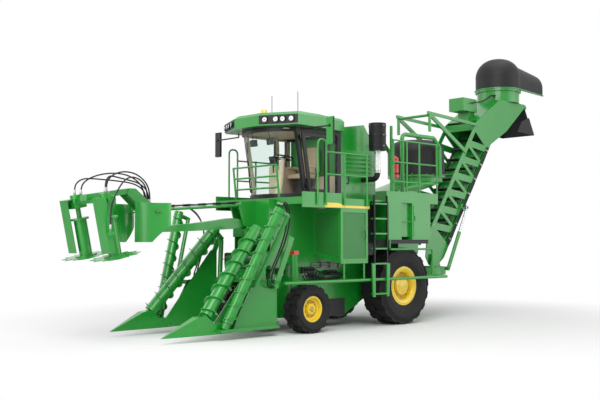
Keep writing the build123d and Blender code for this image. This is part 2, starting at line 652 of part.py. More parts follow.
def divider():
    nose = NOSE_X
    shoe = side_plate([(nose + 2580, 100), (nose + 1910, 410), (nose + 1750, 428), (nose + 1590, 285),
                       (nose + 250, 285), (nose + 250, 140), (nose + 1430, 110)], 700, 1010)
    plan = plan_plate([(nose + 2590, 762), (nose + 2590, 778), (nose + 1910, 890), (nose + 1590, 905),
                       (nose + 250, 905), (nose + 250, 700), (nose + 1590, 700), (nose + 1910, 715)], 50, 600)
    shoe = shoe & plan
    base = box(nose + 250, nose + 1550, 880, 1040, 140, 190)
    panel = side_plate([(nose + 1250, 160), (nose + 790, 940), (nose + 240, 1000), (nose + 240, 160)], 940, 958)
    wall = side_plate([(nose + 1450, 280), (nose + 430, 1500), (nose + 290, 1500), (nose + 290, 280)], 700, 714)
    cross = rod((DIVIDER_PIN[0], 552, DIVIDER_PIN[1]), (DIVIDER_PIN[0], 950, DIVIDER_PIN[1]), 62)
    pieces = [shoe, base, panel, wall, cross]
    for scroll, reach, radius in ((INNER_SCROLL, 260.0, 45.0), (OUTER_SCROLL, 235.0, 40.0)):
        unit = (along(scroll, 1) - along(scroll, 0)).normalized()
        back = (Vector(-1, 0, 0) - unit * (Vector(-1, 0, 0).dot(unit))).normalized()
        pieces.append(rod(along(scroll, -110), along(scroll, -6), 62))
        pieces.append(rod(along(scroll, -60), along(scroll, 80), 40))
        pieces.append(rod(along(scroll, 6, True), along(scroll, 95, True), 90))
        pieces.append(rod(along(scroll, -80, True), along(scroll, 20, True), 40))
        corner = along(scroll, 50, True) + back * reach
        pieces.append(rod(along(scroll, 50, True), corner, radius))
        if scroll is INNER_SCROLL:
            pieces.append(rod(corner - unit * 20 + back * 0, (DIVIDER_PIN[0], 620, DIVIDER_PIN[1]), radius))
        else:
            foot = corner - unit * 1330
            pieces.append(rod(corner + unit * 20, foot, radius))
            pieces.append(rod(foot + unit * 20, (foot.X - 110, 945, foot.Z), radius))
    strut = bar((nose + 350, 860), (nose - 40, 1740), 110, 1040, 1060)
    tie = box(nose + 280, nose + 370, 945, 1050, 830, 900)
    shape = fuse(*pieces, strut, tie)
    return shape - rod((DIVIDER_PIN[0], 500, DIVIDER_PIN[1]), (DIVIDER_PIN[0], 645, DIVIDER_PIN[1]),
                       35 + RUNNING_GAP)


left_divider = divider()
keep("divider_l", left_divider)
keep("divider_r", mirror(left_divider, about=Plane.XZ))
for label, scroll, turns in (("inner", INNER_SCROLL, 7), ("outer", OUTER_SCROLL, 8)):
    left_scroll = scroll_solid(scroll, turns, 1)
    keep(f"scroll_{label}_l", left_scroll)
    keep(f"scroll_{label}_r", mirror(left_scroll, about=Plane.XZ))


# Topper
def topper_boom():
    rear, front = BOOM_REAR, BOOM_FRONT
    body = side_plate([(rear[0], rear[1] + 60), (rear[0] + 300, rear[1] + 90), (rear[0] + 1100, rear[1] - 10),
                       (front[0], front[1] + 45), (front[0], front[1] - 45), (rear[0] + 1100, rear[1] - 150),
                       (rear[0] + 300, rear[1] - 110), (rear[0], rear[1] - 60)], -90, 90)
    shape = fuse(body, pin_y(BOOM_REAR, 62, 100), pin_y(BOOM_FRONT, 48, 100))
    return shape - [pin_y(BOOM_REAR, 30 + RUNNING_GAP, 150), pin_y(BOOM_FRONT, 25 + RUNNING_GAP, 150)]


keep("topper_boom", topper_boom())


def topper_links():
    bars = [rod((UPPER_REAR[0], y, UPPER_REAR[1]), (UPPER_FRONT[0], y, UPPER_FRONT[1]), 26) for y in (-70, 70)]
    eyes = [pin_y(UPPER_REAR, 45, 100), pin_y(UPPER_FRONT, 45, 100)]
    return fuse(*bars, *eyes) - [pin_y(UPPER_REAR, 25 + RUNNING_GAP, 150), pin_y(UPPER_FRONT, 25 + RUNNING_GAP, 150)]


keep("topper_links", topper_links())


def drum_frame(y):
    """Plane at a drum's foot with its axis leaning forward."""
    tilt = radians(TOPPER_TILT)
    return Plane(origin=(BOOM_FRONT[0] + DRUM_REACH, y, BOOM_FRONT[1] - 410), z_dir=(sin(tilt), 0, cos(tilt)),
                 x_dir=(cos(tilt), 0, -sin(tilt)))


def at_head(points, y0, y1):
    """Side plate whose outline is measured from the boom's front pin."""
    return side_plate([(BOOM_FRONT[0] + x, BOOM_FRONT[1] + z) for x, z in points], y0, y1)


def deflector():
    """Curved sheet behind a drum, hollow towards the outside."""
    x, z = BOOM_FRONT
    z0, height, gauge = z - 210, 650, 14
    outer = [(x + 660, 520), (x + 340, 395), (x - 10, 560)]
    edges = [Edge.make_three_point_arc(*[(px, py, z0) for px, py in outer]),
             Edge.make_line((*outer[2], z0), (outer[2][0], outer[2][1] - gauge, z0)),
             Edge.make_three_point_arc(*[(px, py - gauge, z0) for px, py in reversed(outer)]),
             Edge.make_line((outer[0][0], outer[0][1] - gauge, z0), (*outer[0], z0))]
    sheet = Solid.extrude(Face(Wire(edges)), Vector(0, 0, height))
    corner = at_head([(-60, -260), (300, -260), (-60, 120)], 350, 600)
    shelf = box(x + 60, x + 220, 105, 470, z + 288, z + 302)
    return fuse(sheet - corner, shelf)


HOSE_RADIUS = 12.5
# Routes of the topper's hoses from the manifold to the drum motors and the left flow valve, from the boom's front
# pin: x, y, z at each point
HOSES = [
    [(90, 80, 470), (90, 80, 630), (180, 95, 800), (380, 130, 920), (630, 200, 950), (860, 285, 910), (1030, 350, 830),
     (1120, 395, 720), (1120, 395, 610)],
    [(90, 40, 470), (90, 40, 580), (160, 50, 700), (320, 80, 780), (540, 150, 810), (780, 250, 830), (980, 350, 845),
     (1085, 415, 835), (1160, 460, 775), (1190, 480, 695), (1190, 480, 610)],
    [(90, 0, 470), (90, 0, 610), (160, 40, 750), (330, 130, 840), (560, 280, 860), (770, 450, 820), (950, 590, 730),
     (1090, 670, 590), (1190, 690, 410), (1222, 695, 210), (1222, 695, 20)],
    [(90, -40, 470), (90, -40, 580), (160, -50, 700), (320, -80, 780), (540, -150, 810), (780, -250, 830),
     (980, -350, 845), (1085, -415, 835), (1160, -460, 775), (1190, -480, 695), (1190, -480, 610)],
    [(90, -80, 470), (90, -80, 630), (180, -95, 800), (380, -130, 920), (630, -200, 950), (860, -285, 910),
     (1030, -350, 830), (1120, -395, 720), (1120, -395, 610)],
]


def hose_points(route):
    """Route of one hose in the machine's own stations."""
    return [(BOOM_FRONT[0] + x, y, BOOM_FRONT[1] + z) for x, y, z in route]


def hose(route):
    """Tube of straight runs joined by arcs as large as the runs allow."""
    points = [Vector(*point) for point in hose_points(route)]
    radii = []
    for before, here, after in zip(points, points[1:], points[2:]):
        turn = radians((here - before).get_angle(after - here))
        radii.append(0.45 * min((here - before).length, (after - here).length) / tan(turn / 2))
    path = FilletPolyline(*points, radius=radii)
    print("hose length", round(path.length), "smallest arc", round(min(radii)))
    return sweep(Plane(origin=path @ 0, z_dir=path % 0) * Circle(HOSE_RADIUS), path=path)


def topper_head():
    cheeks = both(at_head([(-60, -60), (60, -70), (200, 270), (560, 580), (520, 680), (400, 680), (40, 400),
                           (-60, 70)], 105, 130))
    pins = [pin_y(BOOM_FRONT, 25, 130), pin_y(UPPER_FRONT, 25, 130)]
    arm = at_head([(400, 580), (560, 580), (DRUM_REACH + 320, 450), (DRUM_REACH + 320, 550), (520, 680), (400, 680)],
                  -105, 105)
    manifold = at_head([(55, 405), (125, 405), (125, 440), (55, 440)], -105, 105)
    place = drum_frame(0).location
    beam = place * box(-70, 70, -640, 640, 850, 940)
    parts = [*cheeks, *pins, arm, manifold, beam]
    for side in (1, -1):
        y = side * DRUM_Y
        lean = drum_frame(y).location
        parts.append(lean * box(-110, 110, -110, 110, 780, 870))
        parts.append(lean * rod((0, 0, 860), (0, 0, 1000), 95))
        parts.append(lean * rod((0, 0, 570), (0, 0, 790), 40))
        near, far = sorted((side * 400, side * 640))
        parts.append(place * box(190, 204, near, far, 60, 940))
        parts.append(place * box(-120, 204, near, far, 926, 940))
        edge0, edge1 = sorted((side * 626, side * 640))
        parts.append(place * box(100, 204, edge0, edge1, 60, 940))
    parts.extend(both(deflector()))
    for route in HOSES:
        start, end = hose_points(route)[0], hose_points(route)[-1]
        parts.append(rod((start[0], start[1], BOOM_FRONT[1] + 430), start, 17))
        parts.append(rod((end[0], end[1], end[2] - 90), end, 17))
    valve = place * box(110, 190, 626, 730, 350, 400)
    return fuse(*parts, valve)


keep("topper_hoses", *[hose(route) for route in HOSES])
keep("topper_head", topper_head())


def topper_drum(y):
    drum = Cylinder(105, 640, align=(Align.CENTER, Align.CENTER, Align.MIN))
    disc = plan_plate([(cos(radians(a)) * r, sin(radians(a)) * r)
                       for k in range(12) for a, r in ((30 * k, 400), (30 * k + 10, 300))], -30, -18)
    disc = disc & Cylinder(400, 200)
    hub = Cylinder(180, 60)
    shape = fuse(Pos(0, 0, -30) * hub, Pos(0, 0, -25) * drum, disc, Pos(0, 0, 600) * Cylinder(150, 30))
    shape = shape - Pos(0, 0, 600) * Cylinder(40 + RUNNING_GAP, 80)
    return drum_frame(y).location * shape


keep("topper_drum_l", topper_drum(DRUM_Y))
keep("topper_drum_r", topper_drum(-DRUM_Y))


# Elevator
BARREL_FOOT = (SWING_X - 400, 1060.0)


def slew_table():
    disc = turned_z([(120 + RUNNING_GAP, 930 + RUNNING_GAP), (640, 930 + RUNNING_GAP), (640, 1100), (620, 1100),
                     (620, 985), (120 + RUNNING_GAP, 985)], SWING_X, 0)
    cheek = side_plate([(SWING_X - 250, 985), (SWING_X + 200, 985), (SWING_X + 90, 1390), (SWING_X - 90, 1390)],
                       480, 510)
    pin = rod((SWING_X, 415, LIFT_PIN_Z), (SWING_X, 510, LIFT_PIN_Z), 40)
    foot_x, foot_z = BARREL_FOOT
    boss = rod((foot_x, 470, foot_z), (foot_x, 520, foot_z), 45)
    foot_pin = rod((foot_x, 470, foot_z), (foot_x, 605, foot_z), 25)
    half = fuse(cheek, pin) & rod((SWING_X, 0, 900), (SWING_X, 0, 1500), 635)
    return fuse(disc, *both(half), *both(boss), *both(foot_pin))


keep("slew_table", slew_table())

LOWER = [(-2250.0, 1300.0), (-4160.0, 4020.0), (-4850.0, 4400.0)]
UPPER = [(-1650.0, 1780.0), (-3570.0, 4520.0), (-4560.0, 5150.0)]


def elevator_side():
    outline = [UPPER[0], UPPER[1], UPPER[2], (-5690, 5150), (-5690, 5080), LOWER[2], LOWER[1], LOWER[0],
               (-2030, 1140), (-1720, 1140), (-1600, 1320)]
    plate = side_plate(outline, TROUGH_Y, TROUGH_Y + 20)
    holes = []
    bays = 6
    for k in range(bays):
        t0, t1 = 0.10 + 0.86 * k / bays, 0.10 + 0.86 * (k + 1) / bays - 0.025
        low0, low1 = between(LOWER, t0, 0.14), between(LOWER, t1, 0.14)
        up0, up1 = between(LOWER, t0, 0.86), between(LOWER, t1, 0.86)
        shrink = 0.035
        holes.append(side_plate([low0, between(LOWER, t1 - shrink, 0.14), between(LOWER, t0, 0.86 - 0.12)],
                                TROUGH_Y - 5, TROUGH_Y + 30))
        holes.append(side_plate([up1, between(LOWER, t0 + shrink, 0.86), between(LOWER, t1, 0.14 + 0.12)],
                                TROUGH_Y - 5, TROUGH_Y + 30))
    return plate - holes


def between(line, along_share, up_share):
    """Point inside the elevator's side, from the two chords' straight run."""
    lx = LOWER[0][0] + (LOWER[1][0] - LOWER[0][0]) * along_share
    lz = LOWER[0][1] + (LOWER[1][1] - LOWER[0][1]) * along_share
    ux = UPPER[0][0] + (UPPER[1][0] - UPPER[0][0]) * along_share
    uz = UPPER[0][1] + (UPPER[1][1] - UPPER[0][1]) * along_share
    return (lx + (ux - lx) * up_share, lz + (uz - lz) * up_share)


def elevator_frame():
    boss = rod((SWING_X, TROUGH_Y, LIFT_PIN_Z), (SWING_X, 474, LIFT_PIN_Z), 95)
    hole = rod((SWING_X, 400, LIFT_PIN_Z), (SWING_X, 490, LIFT_PIN_Z), 40 + RUNNING_GAP)
    gantry = fuse(bar((-3120, 3760), (-1760, 4520), 90, TROUGH_Y, TROUGH_Y + 40),
                  bar((-1700, 4540), (-3600, 4440), 70, TROUGH_Y, TROUGH_Y + 40),
                  box(-1800, -1740, TROUGH_Y, TROUGH_Y + 40, 4120, 4530))
    eye = rod((-2980, TROUGH_Y, 2450), (-2980, 600, 2450), 25)
    pad = rod((-2980, TROUGH_Y, 2450), (-2980, 460, 2450), 90)
    ear = side_plate([(-5690, 5150), (-5760, 5100), (-5760, 5030), (-5690, 5080), (-5640, 5150)], TROUGH_Y, 450)
    half = fuse(elevator_side(), boss, gantry, eye, pad, ear) - hole
    cross = [rod((x, -TROUGH_Y, z), (x, TROUGH_Y, z), 30) for x, z in
             ((-1760, 4490), (-1900, 2050), (-2700, 3200))]
    cross.append(box(-3530, -3450, -TROUGH_Y, TROUGH_Y, 4310, 4470))
    cover = bar((-3620, 4550), (-4560, 5143), 14, -TROUGH_Y, TROUGH_Y)
    floor = bar((-2330, 1680), (-4080, 4180), 12, -TROUGH_Y, TROUGH_Y)
    floor_top = bar((-4080, 4180), (-4900, 4640), 12, -TROUGH_Y, TROUGH_Y)
    lid = side_plate([(-4560, 5150), (-5690, 5150), (-5690, 5120), (-4560, 5120)], -TROUGH_Y, TROUGH_Y)
    lid = lid - rod((HEAD_X, 0, 5100), (HEAD_X, 0, 5200), 400)
    ring = turned_z([(500, 5150), (525, 5150), (525, 5430), (570, 5430), (570, 5480), (500, 5480)], HEAD_X, 0)
    spider = fuse(box(HEAD_X - 505, HEAD_X + 505, -30, 30, 5300, 5360), rod((HEAD_X, 0, 5290), (HEAD_X, 0, 5370), 100),
                  rod((HEAD_X, 0, 5370), (HEAD_X, 0, 5470), 40))
    motor_box = fuse(box(-3930, -3380, -210, 210, 4800, 5110),
                     side_plate([(-3660, 4560), (-3910, 4720), (-3910, 4810), (-3660, 4810)], -150, 150))
    pin = rod((-5720, -450, 5060), (-5720, 450, 5060), 12)
    return fuse(*both(half), *cross, cover, floor, floor_top, lid, ring, spider, motor_box, pin)


keep("elevator_frame", elevator_frame())


def elevator_conveyor():
    upper_run = [(-2300, 1790), (-4035, 4270)]
    lower_run = [(-2395, 1590), (-4120, 4060)]
    pieces = []
    for start, end in (upper_run, lower_run):
        pieces.extend(both(bar(start, end, 40, 340, 375)))
        for k in range(10):
            share = (k + 0.5) / 10
            x = start[0] + (end[0] - start[0]) * share
            z = start[1] + (end[1] - start[1]) * share
            pieces.append(Pos(x, 0, z) * (Rot(0, 55, 0) * Box(26, 2 * TROUGH_Y - 0.6, 90)))
    return pieces


conveyor = elevator_conveyor()
keep("elevator_conveyor", fuse(*conveyor[:12]), fuse(*conveyor[12:]))


FLAP_PIN = (-5720.0, 5060.0)


def elevator_flap():
    tip = (-6090.0, 4400.0)
    sheet = bar(FLAP_PIN, tip, 14, -424, 424)
    cheek = side_plate([(-5850, 4830), (-6096, 4396), (-5320, 4430), (-5500, 4700)], 458, 468)
    link = bar((-5868, 4796), tip, 14, 420, 468)
    tube = pin_y(FLAP_PIN, 26, 424)
    return fuse(sheet, *both(cheek), *both(link), tube) - pin_y(FLAP_PIN, 12 + RUNNING_GAP, 480)


keep("elevator_flap", elevator_flap())


MOUTH_X = -6640.0


def spout_section(x, half, z0, height, shoulder):
    """Upright arch across the hood's spout: a flat foot, upright sides and a round top."""
    y0, side_top = half, z0 + shoulder
    arch = Edge.make_three_point_arc((x, half, side_top), (x, 0, z0 + height), (x, -half, side_top))
    legs = Wire.make_polygon([(x, -half, side_top), (x, -half, z0), (x, y0, z0), (x, half, side_top)], close=False)
    return Face(Wire([arch] + list(legs.edges())))


def secondary_hood():
    """Black hood of the upper extractor: a bell that runs out into an arched spout, on a flat rim."""
    z0 = 5480 + RUNNING_GAP
    bell = domed_z((560, z0), (560, 5790), (120, 6296), HEAD_X, 0)
    bell_in = domed_z((546, z0 - 9), (546, 5790), (118, 6282), HEAD_X, 0)
    spout = loft([spout_section(HEAD_X, 520, z0, 790, 280), spout_section(MOUTH_X, 400, z0, 610, 250)], ruled=True)
    spout_in = loft([spout_section(HEAD_X, 506, z0 - 9, 785, 280), spout_section(MOUTH_X - 20, 384, z0 - 9, 603, 250)],
                    ruled=True)
    rim = fuse(Pos(HEAD_X, 0, z0 + 11) * Cylinder(590, 22),
               plan_plate([(HEAD_X, 590), (MOUTH_X, 430), (MOUTH_X, -430), (HEAD_X, -590)], z0, z0 + 22))
    return fuse(bell, spout, rim) - fuse(bell_in, spout_in)


keep("secondary_hood", secondary_hood())
keep("secondary_fan", fan(HEAD_X, 5375, 470, 90, 40 + RUNNING_GAP, 3))


# Lift cylinders under the elevator
ROD_EYE = (-2980.0, 2450.0)
EYE_PLAY = 8.0


def lift_point(distance, from_top=False):
    dx, dz = ROD_EYE[0] - BARREL_FOOT[0], ROD_EYE[1] - BARREL_FOOT[1]
    length = sqrt(dx * dx + dz * dz)
    origin = ROD_EYE if from_top else BARREL_FOOT
    return (origin[0] + dx / length * distance, 570.0, origin[1] + dz / length * distance)


barrel = fuse(rod(lift_point(30), lift_point(930), 42), rod((BARREL_FOOT[0], 550, BARREL_FOOT[1]),
                                                           (BARREL_FOOT[0], 592, BARREL_FOOT[1]), 45))
barrel = barrel - [rod((BARREL_FOOT[0], 500, BARREL_FOOT[1]), (BARREL_FOOT[0], 640, BARREL_FOOT[1]), 25 + RUNNING_GAP),
                   rod(lift_point(200), lift_point(960), 28 + RUNNING_GAP)]
keep("lift_barrels", *both(barrel))
ram = fuse(rod(lift_point(440), lift_point(-20, True), 28), rod((ROD_EYE[0], 550, ROD_EYE[1]),
                                                               (ROD_EYE[0], 592, ROD_EYE[1]), 55))
ram = ram - rod((ROD_EYE[0], 500, ROD_EYE[1]), (ROD_EYE[0], 640, ROD_EYE[1]), 25 + EYE_PLAY)
keep("lift_rods", *both(ram))


# Lamps, beacon and aerials on the roof; tie-down eyes on the chassis
def lamp_panel():
    """Lamp panel on the roof's left front corner face with four round lamps."""
    (x0, y0), (x1, y1) = ROOF_HALF[0], ROOF_HALF[1]
    length = sqrt((x1 - x0) ** 2 + (y1 - y0) ** 2)
    out = Vector((y1 - y0) / length, (x0 - x1) / length, 0)
    panel = plan_plate([(x0, y0), (x1, y1), (x1 + out.X * 14, y1 + out.Y * 14), (x0 + out.X * 14, y0 + out.Y * 14)],
                       3820, 3985)
    lamps = []
    for share in (0.16, 0.44, 0.62, 0.84):
        seat = Vector(x0 + (x1 - x0) * share, y0 + (y1 - y0) * share, 3902)
        lamps.append(rod(seat + out * 10, seat + out * 34, 58))
    return fuse(panel, *lamps)


def roof_lamps():
    beacon = rod((2760, 0, 4085), (2760, 0, 4170), 60)
    aerials = [rod((2200, y, 4085), (2200, y, 4560), 6) for y in (-400, 350)]
    return [*both(lamp_panel()), beacon, *aerials]


keep("roof_lamps", *roof_lamps())


def tie_down(x, z, wall):
    """Lashing plate standing on a side wall, with a pin hole across the machine."""
    eye = box(x - 60, x + 60, wall, wall + 28, z - 60, z + 60)
    return eye - rod((x, wall - 20, z), (x, wall + 40, z), 25)


keep("tie_down_eyes", *both(tie_down(1850, 600, 520)), *both(tie_down(-1100, 830, WALL_Y)))
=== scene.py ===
"""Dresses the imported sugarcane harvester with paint, glass, rubber, hoses and small fittings.

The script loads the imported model, gives every node a procedural finish, adds pieces that the solids
leave out, and sets a pale studio with a camera at the photograph's angle. Lengths are metres in the
model's own frame: X forward, Y to the machine's left, Z up. Stations along X are measured from the
rear axle, and ``row`` moves them into the frame.
"""
from __future__ import annotations

import logging
import math
import sys
from dataclasses import dataclass, field
from enum import Enum
from typing import Callable, Mapping, Sequence

import bmesh
import bpy
import numpy as np
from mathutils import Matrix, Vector

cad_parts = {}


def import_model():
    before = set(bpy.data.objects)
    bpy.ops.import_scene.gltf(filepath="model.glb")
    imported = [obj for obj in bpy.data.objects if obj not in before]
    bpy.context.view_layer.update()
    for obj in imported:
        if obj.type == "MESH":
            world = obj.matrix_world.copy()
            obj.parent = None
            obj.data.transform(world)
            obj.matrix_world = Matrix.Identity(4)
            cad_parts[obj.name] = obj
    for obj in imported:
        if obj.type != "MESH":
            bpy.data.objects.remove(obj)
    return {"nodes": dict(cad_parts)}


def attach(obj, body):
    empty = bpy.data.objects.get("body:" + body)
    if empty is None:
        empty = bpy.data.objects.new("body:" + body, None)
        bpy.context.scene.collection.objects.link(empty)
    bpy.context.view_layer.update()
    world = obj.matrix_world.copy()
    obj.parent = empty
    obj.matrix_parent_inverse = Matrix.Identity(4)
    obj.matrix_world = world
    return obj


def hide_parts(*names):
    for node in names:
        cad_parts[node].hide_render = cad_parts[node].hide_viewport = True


LOG = logging.getLogger("harvester")
Array = np.ndarray
Point = Sequence[float]
Colour = tuple[float, float, float]

# Places that several pieces share
AXLE = -0.0175
REAR_HUB = (0.0, 0.770)
FRONT_HUB = (2.584, 0.437)
SILENCER = (0.740, 1.100)
EXTINGUISHER = (0.205, 1.100)
CAB_FLOOR = 2.560
LADDER = 0.9
OUT = np.array((0.0, 1.0, 0.0))
UP = np.array((0.0, 0.0, 1.0))
WHITE = (1.0, 1.0, 1.0, 1.0)
HOLE_COLOUR = (0.004, 0.012, 0.005, 1.0)


class Side(Enum):
    """Which side of the machine a piece is on; the value is the sign of its Y."""

    LEFT = 1
    RIGHT = -1

    @property
    def letter(self) -> str:
        """The side's letter in node and body names."""
        return "l" if self is Side.LEFT else "r"


class Socket(Enum):
    """Kinds of node group socket."""

    VALUE = "NodeSocketFloat"
    COLOUR = "NodeSocketColor"


class Relief(Enum):
    """Surface pattern that a finish carries besides its fine grain."""

    PLAIN = 0
    HOLES = 1
    TREAD_PLATE = 2
    WEAVE = 3
    RINGS = 4


@dataclass(frozen=True)
class Finish:
    """A paint, plastic, rubber, cloth or metal finish.

    Attributes:
        name: Material name.
        colour: Linear base colour.
        shade: Linear colour that patches and hollows tend to.
        roughness: Mean roughness.
        metallic: Metallic share.
        coat: Clear coat weight.
        specular: Specular level.
        grain: Scale of the fine surface grain, per metre.
        bump: Height of the grain, as a Bump strength.
        patch: Share of the patchy colour change.
        relief: Pattern carried by the surface.
        centre: Axis of a ring pattern, as x and z.
    """

    name: str
    colour: Colour
    shade: Colour
    roughness: float = 0.4
    metallic: float = 0.0
    coat: float = 0.0
    specular: float = 0.5
    grain: float = 160.0
    bump: float = 0.03
    patch: float = 0.35
    relief: Relief = Relief.PLAIN
    centre: tuple[float, float] = (0.0, 0.0)


GREEN = Finish("green_paint", (0.010, 0.270, 0.024), (0.005, 0.200, 0.015), 0.30, coat=0.40)
# Paler green for upward faces: a painted highlight from the light above.
TOP_LIT_GREEN = Finish("painted_highlight_green_paint", (0.050, 0.360, 0.070), (0.030, 0.300, 0.045), 0.34, coat=0.40)
# Darker green; on the throat's lower walls it is painted shade under the coolers.
DARK_GREEN = Finish("deep_green_paint", (0.004, 0.105, 0.010), (0.002, 0.060, 0.005), 0.42, coat=0.2)
DECKING = Finish("tread_plate_green", (0.007, 0.180, 0.016), (0.004, 0.110, 0.010), 0.42, coat=0.2,
                 relief=Relief.TREAD_PLATE)
SCREEN = Finish("pierced_screen_green", (0.016, 0.250, 0.030), (0.009, 0.180, 0.018), 0.45, coat=0.2,
                relief=Relief.HOLES)
BLACK = Finish("black_paint", (0.008, 0.008, 0.009), (0.005, 0.005, 0.006), 0.40, coat=0.1, specular=0.25)
YELLOW = Finish("yellow_paint", (0.83, 0.60, 0.014), (0.68, 0.44, 0.010), 0.34, coat=0.6)
# Darker copy of the yellow: painted shade for the recessed dishes of the rims and for the front hub caps.
SHADED_YELLOW = Finish("painted_shade_yellow_paint", (0.50, 0.33, 0.010), (0.36, 0.22, 0.008), 0.42, coat=0.3)
RED = Finish("red_paint", (0.56, 0.016, 0.014), (0.36, 0.010, 0.010), 0.32, coat=0.6)
HOOD = Finish("hood_plastic", (0.018, 0.018, 0.019), (0.011, 0.011, 0.012), 0.50, specular=0.25, grain=520.0,
              bump=0.06)
CANISTER = Finish("canister_plastic", (0.013, 0.013, 0.014), (0.008, 0.008, 0.009), 0.44, specular=0.2,
                  grain=420.0, bump=0.05)
STEEL = Finish("bright_steel", (0.56, 0.57, 0.58), (0.40, 0.40, 0.41), 0.24, metallic=1.0, grain=700.0,
               bump=0.02)
ZINC = Finish("zinc_plate", (0.50, 0.50, 0.48), (0.34, 0.34, 0.33), 0.36, metallic=0.9, grain=500.0)
PIPE = Finish("pale_pipe", (0.72, 0.73, 0.74), (0.58, 0.59, 0.60), 0.30, metallic=0.3, coat=0.4)
IRON = Finish("dark_iron", (0.040, 0.041, 0.043), (0.022, 0.022, 0.023), 0.55, metallic=0.4, grain=300.0,
              bump=0.12)
HOSE = Finish("hose_rubber", (0.012, 0.012, 0.013), (0.007, 0.007, 0.007), 0.42, specular=0.3, grain=900.0,
              bump=0.05)
CURTAIN = Finish("curtain_rubber", (0.020, 0.020, 0.021), (0.012, 0.012, 0.012), 0.62, grain=300.0, bump=0.14)
FABRIC = Finish("seat_fabric", (0.60, 0.46, 0.30), (0.46, 0.34, 0.21), 0.88, bump=0.2, relief=Relief.WEAVE)
# Beige cab trim: the lining's own colour, made paler as painted light that stands in for light inside the
# cab.
PAINTED_LIGHT_TRIM = Finish("cab_trim_painted_light", (0.62, 0.50, 0.36), (0.50, 0.40, 0.28), 0.60, grain=600.0, bump=0.10)
DARK_TRIM = Finish("cab_dark_trim", (0.030, 0.030, 0.032), (0.018, 0.018, 0.019), 0.58, grain=700.0,
                   bump=0.10)
LENS = Finish("lamp_lens", (0.82, 0.84, 0.86), (0.62, 0.64, 0.66), 0.10, coat=1.0, grain=90.0, bump=0.04)
AMBER = Finish("amber_lens", (0.84, 0.60, 0.015), (0.70, 0.46, 0.010), 0.16, coat=1.0, grain=90.0, bump=0.04)
MIRROR = Finish("mirror_glass", (0.72, 0.75, 0.77), (0.62, 0.65, 0.67), 0.05, metallic=1.0, grain=40.0,
                bump=0.005)


def tyre_finish(hub: tuple[float, float], name: str) -> Finish:
    """Rubber with moulded rings about a wheel's axis at x, z."""
    return Finish(name, (0.012, 0.012, 0.012), (0.006, 0.006, 0.006), 0.62, specular=0.25, grain=420.0,
                  bump=0.08,
                  patch=0.5, relief=Relief.RINGS, centre=(hub[0] + AXLE, hub[1]))


def feed(tree: bpy.types.NodeTree, node: bpy.types.Node, feeds: Mapping[str | int, object]) -> None:
    """Give a node's inputs, by name or number, a value or a link from a socket."""
    for key, value in feeds.items():
        if isinstance(value, bpy.types.NodeSocket):
            tree.links.new(value, node.inputs[key])
        else:
            node.inputs[key].default_value = value


def add(tree: bpy.types.NodeTree, kind: str, feeds: Mapping[str | int, object] | None = None,
        **settings: object) -> bpy.types.Node:
    """Add a shader node to a tree.

    Args:
        tree: The tree.
        kind: Node type without its usual beginning.
        feeds: Values or sockets for its inputs.
        **settings: Properties to set first.

    Returns:
        The node.
    """
    node = tree.nodes.new(f"ShaderNode{kind}")
    for name, value in settings.items():
        setattr(node, name, value)
    feed(tree, node, feeds or {})
    return node


def blended(tree: bpy.types.NodeTree, share: bpy.types.NodeSocket,
            *shaders: bpy.types.NodeSocket) -> bpy.types.NodeSocket:
    """Mix two shaders by a share."""
    return add(tree, "MixShader", {"Fac": share, 1: shaders[0], 2: shaders[1]}).outputs["Shader"]


def fresh(name: str) -> tuple[bpy.types.Material, bpy.types.NodeTree, bpy.types.Node]:
    """Make a material and give it with its tree and its main shader."""
    material = bpy.data.materials.new(name)
    material.use_nodes = True
    return material, material.node_tree, material.node_tree.nodes["Principled BSDF"]


@dataclass(frozen=True)
class Term:
    """A number in a node tree, so that plain arithmetic adds Math nodes.

    Attributes:
        tree: The tree.
        socket: Where the number comes out.
    """

    tree: bpy.types.NodeTree
    socket: bpy.types.NodeSocket

    def by(self, operation: str, other: object = None, clamp: bool = False) -> Term:
        """Add a Math node fed by this term and by another term, a socket or a number."""
        feeds = {0: self.socket}
        if other is not None:
            feeds[1] = other.socket if isinstance(other, Term) else other
        node = add(self.tree, "Math", feeds, operation=operation, use_clamp=clamp)
        return Term(self.tree, node.outputs[0])

    def __add__(self, other: object) -> Term:
        """Sum."""
        return self.by("ADD", other)

    def __sub__(self, other: object) -> Term:
        """Difference."""
        return self.by("SUBTRACT", other)

    def __mul__(self, other: object) -> Term:
        """Product."""
        return self.by("MULTIPLY", other)


def axes(tree: bpy.types.NodeTree) -> list[Term]:
    """Give the X, Y and Z of the Object coordinates in a tree."""
    place = add(tree, "TexCoord").outputs["Object"]
    split = add(tree, "SeparateXYZ", {0: place})
    return [Term(tree, split.outputs[axis]) for axis in "XYZ"]


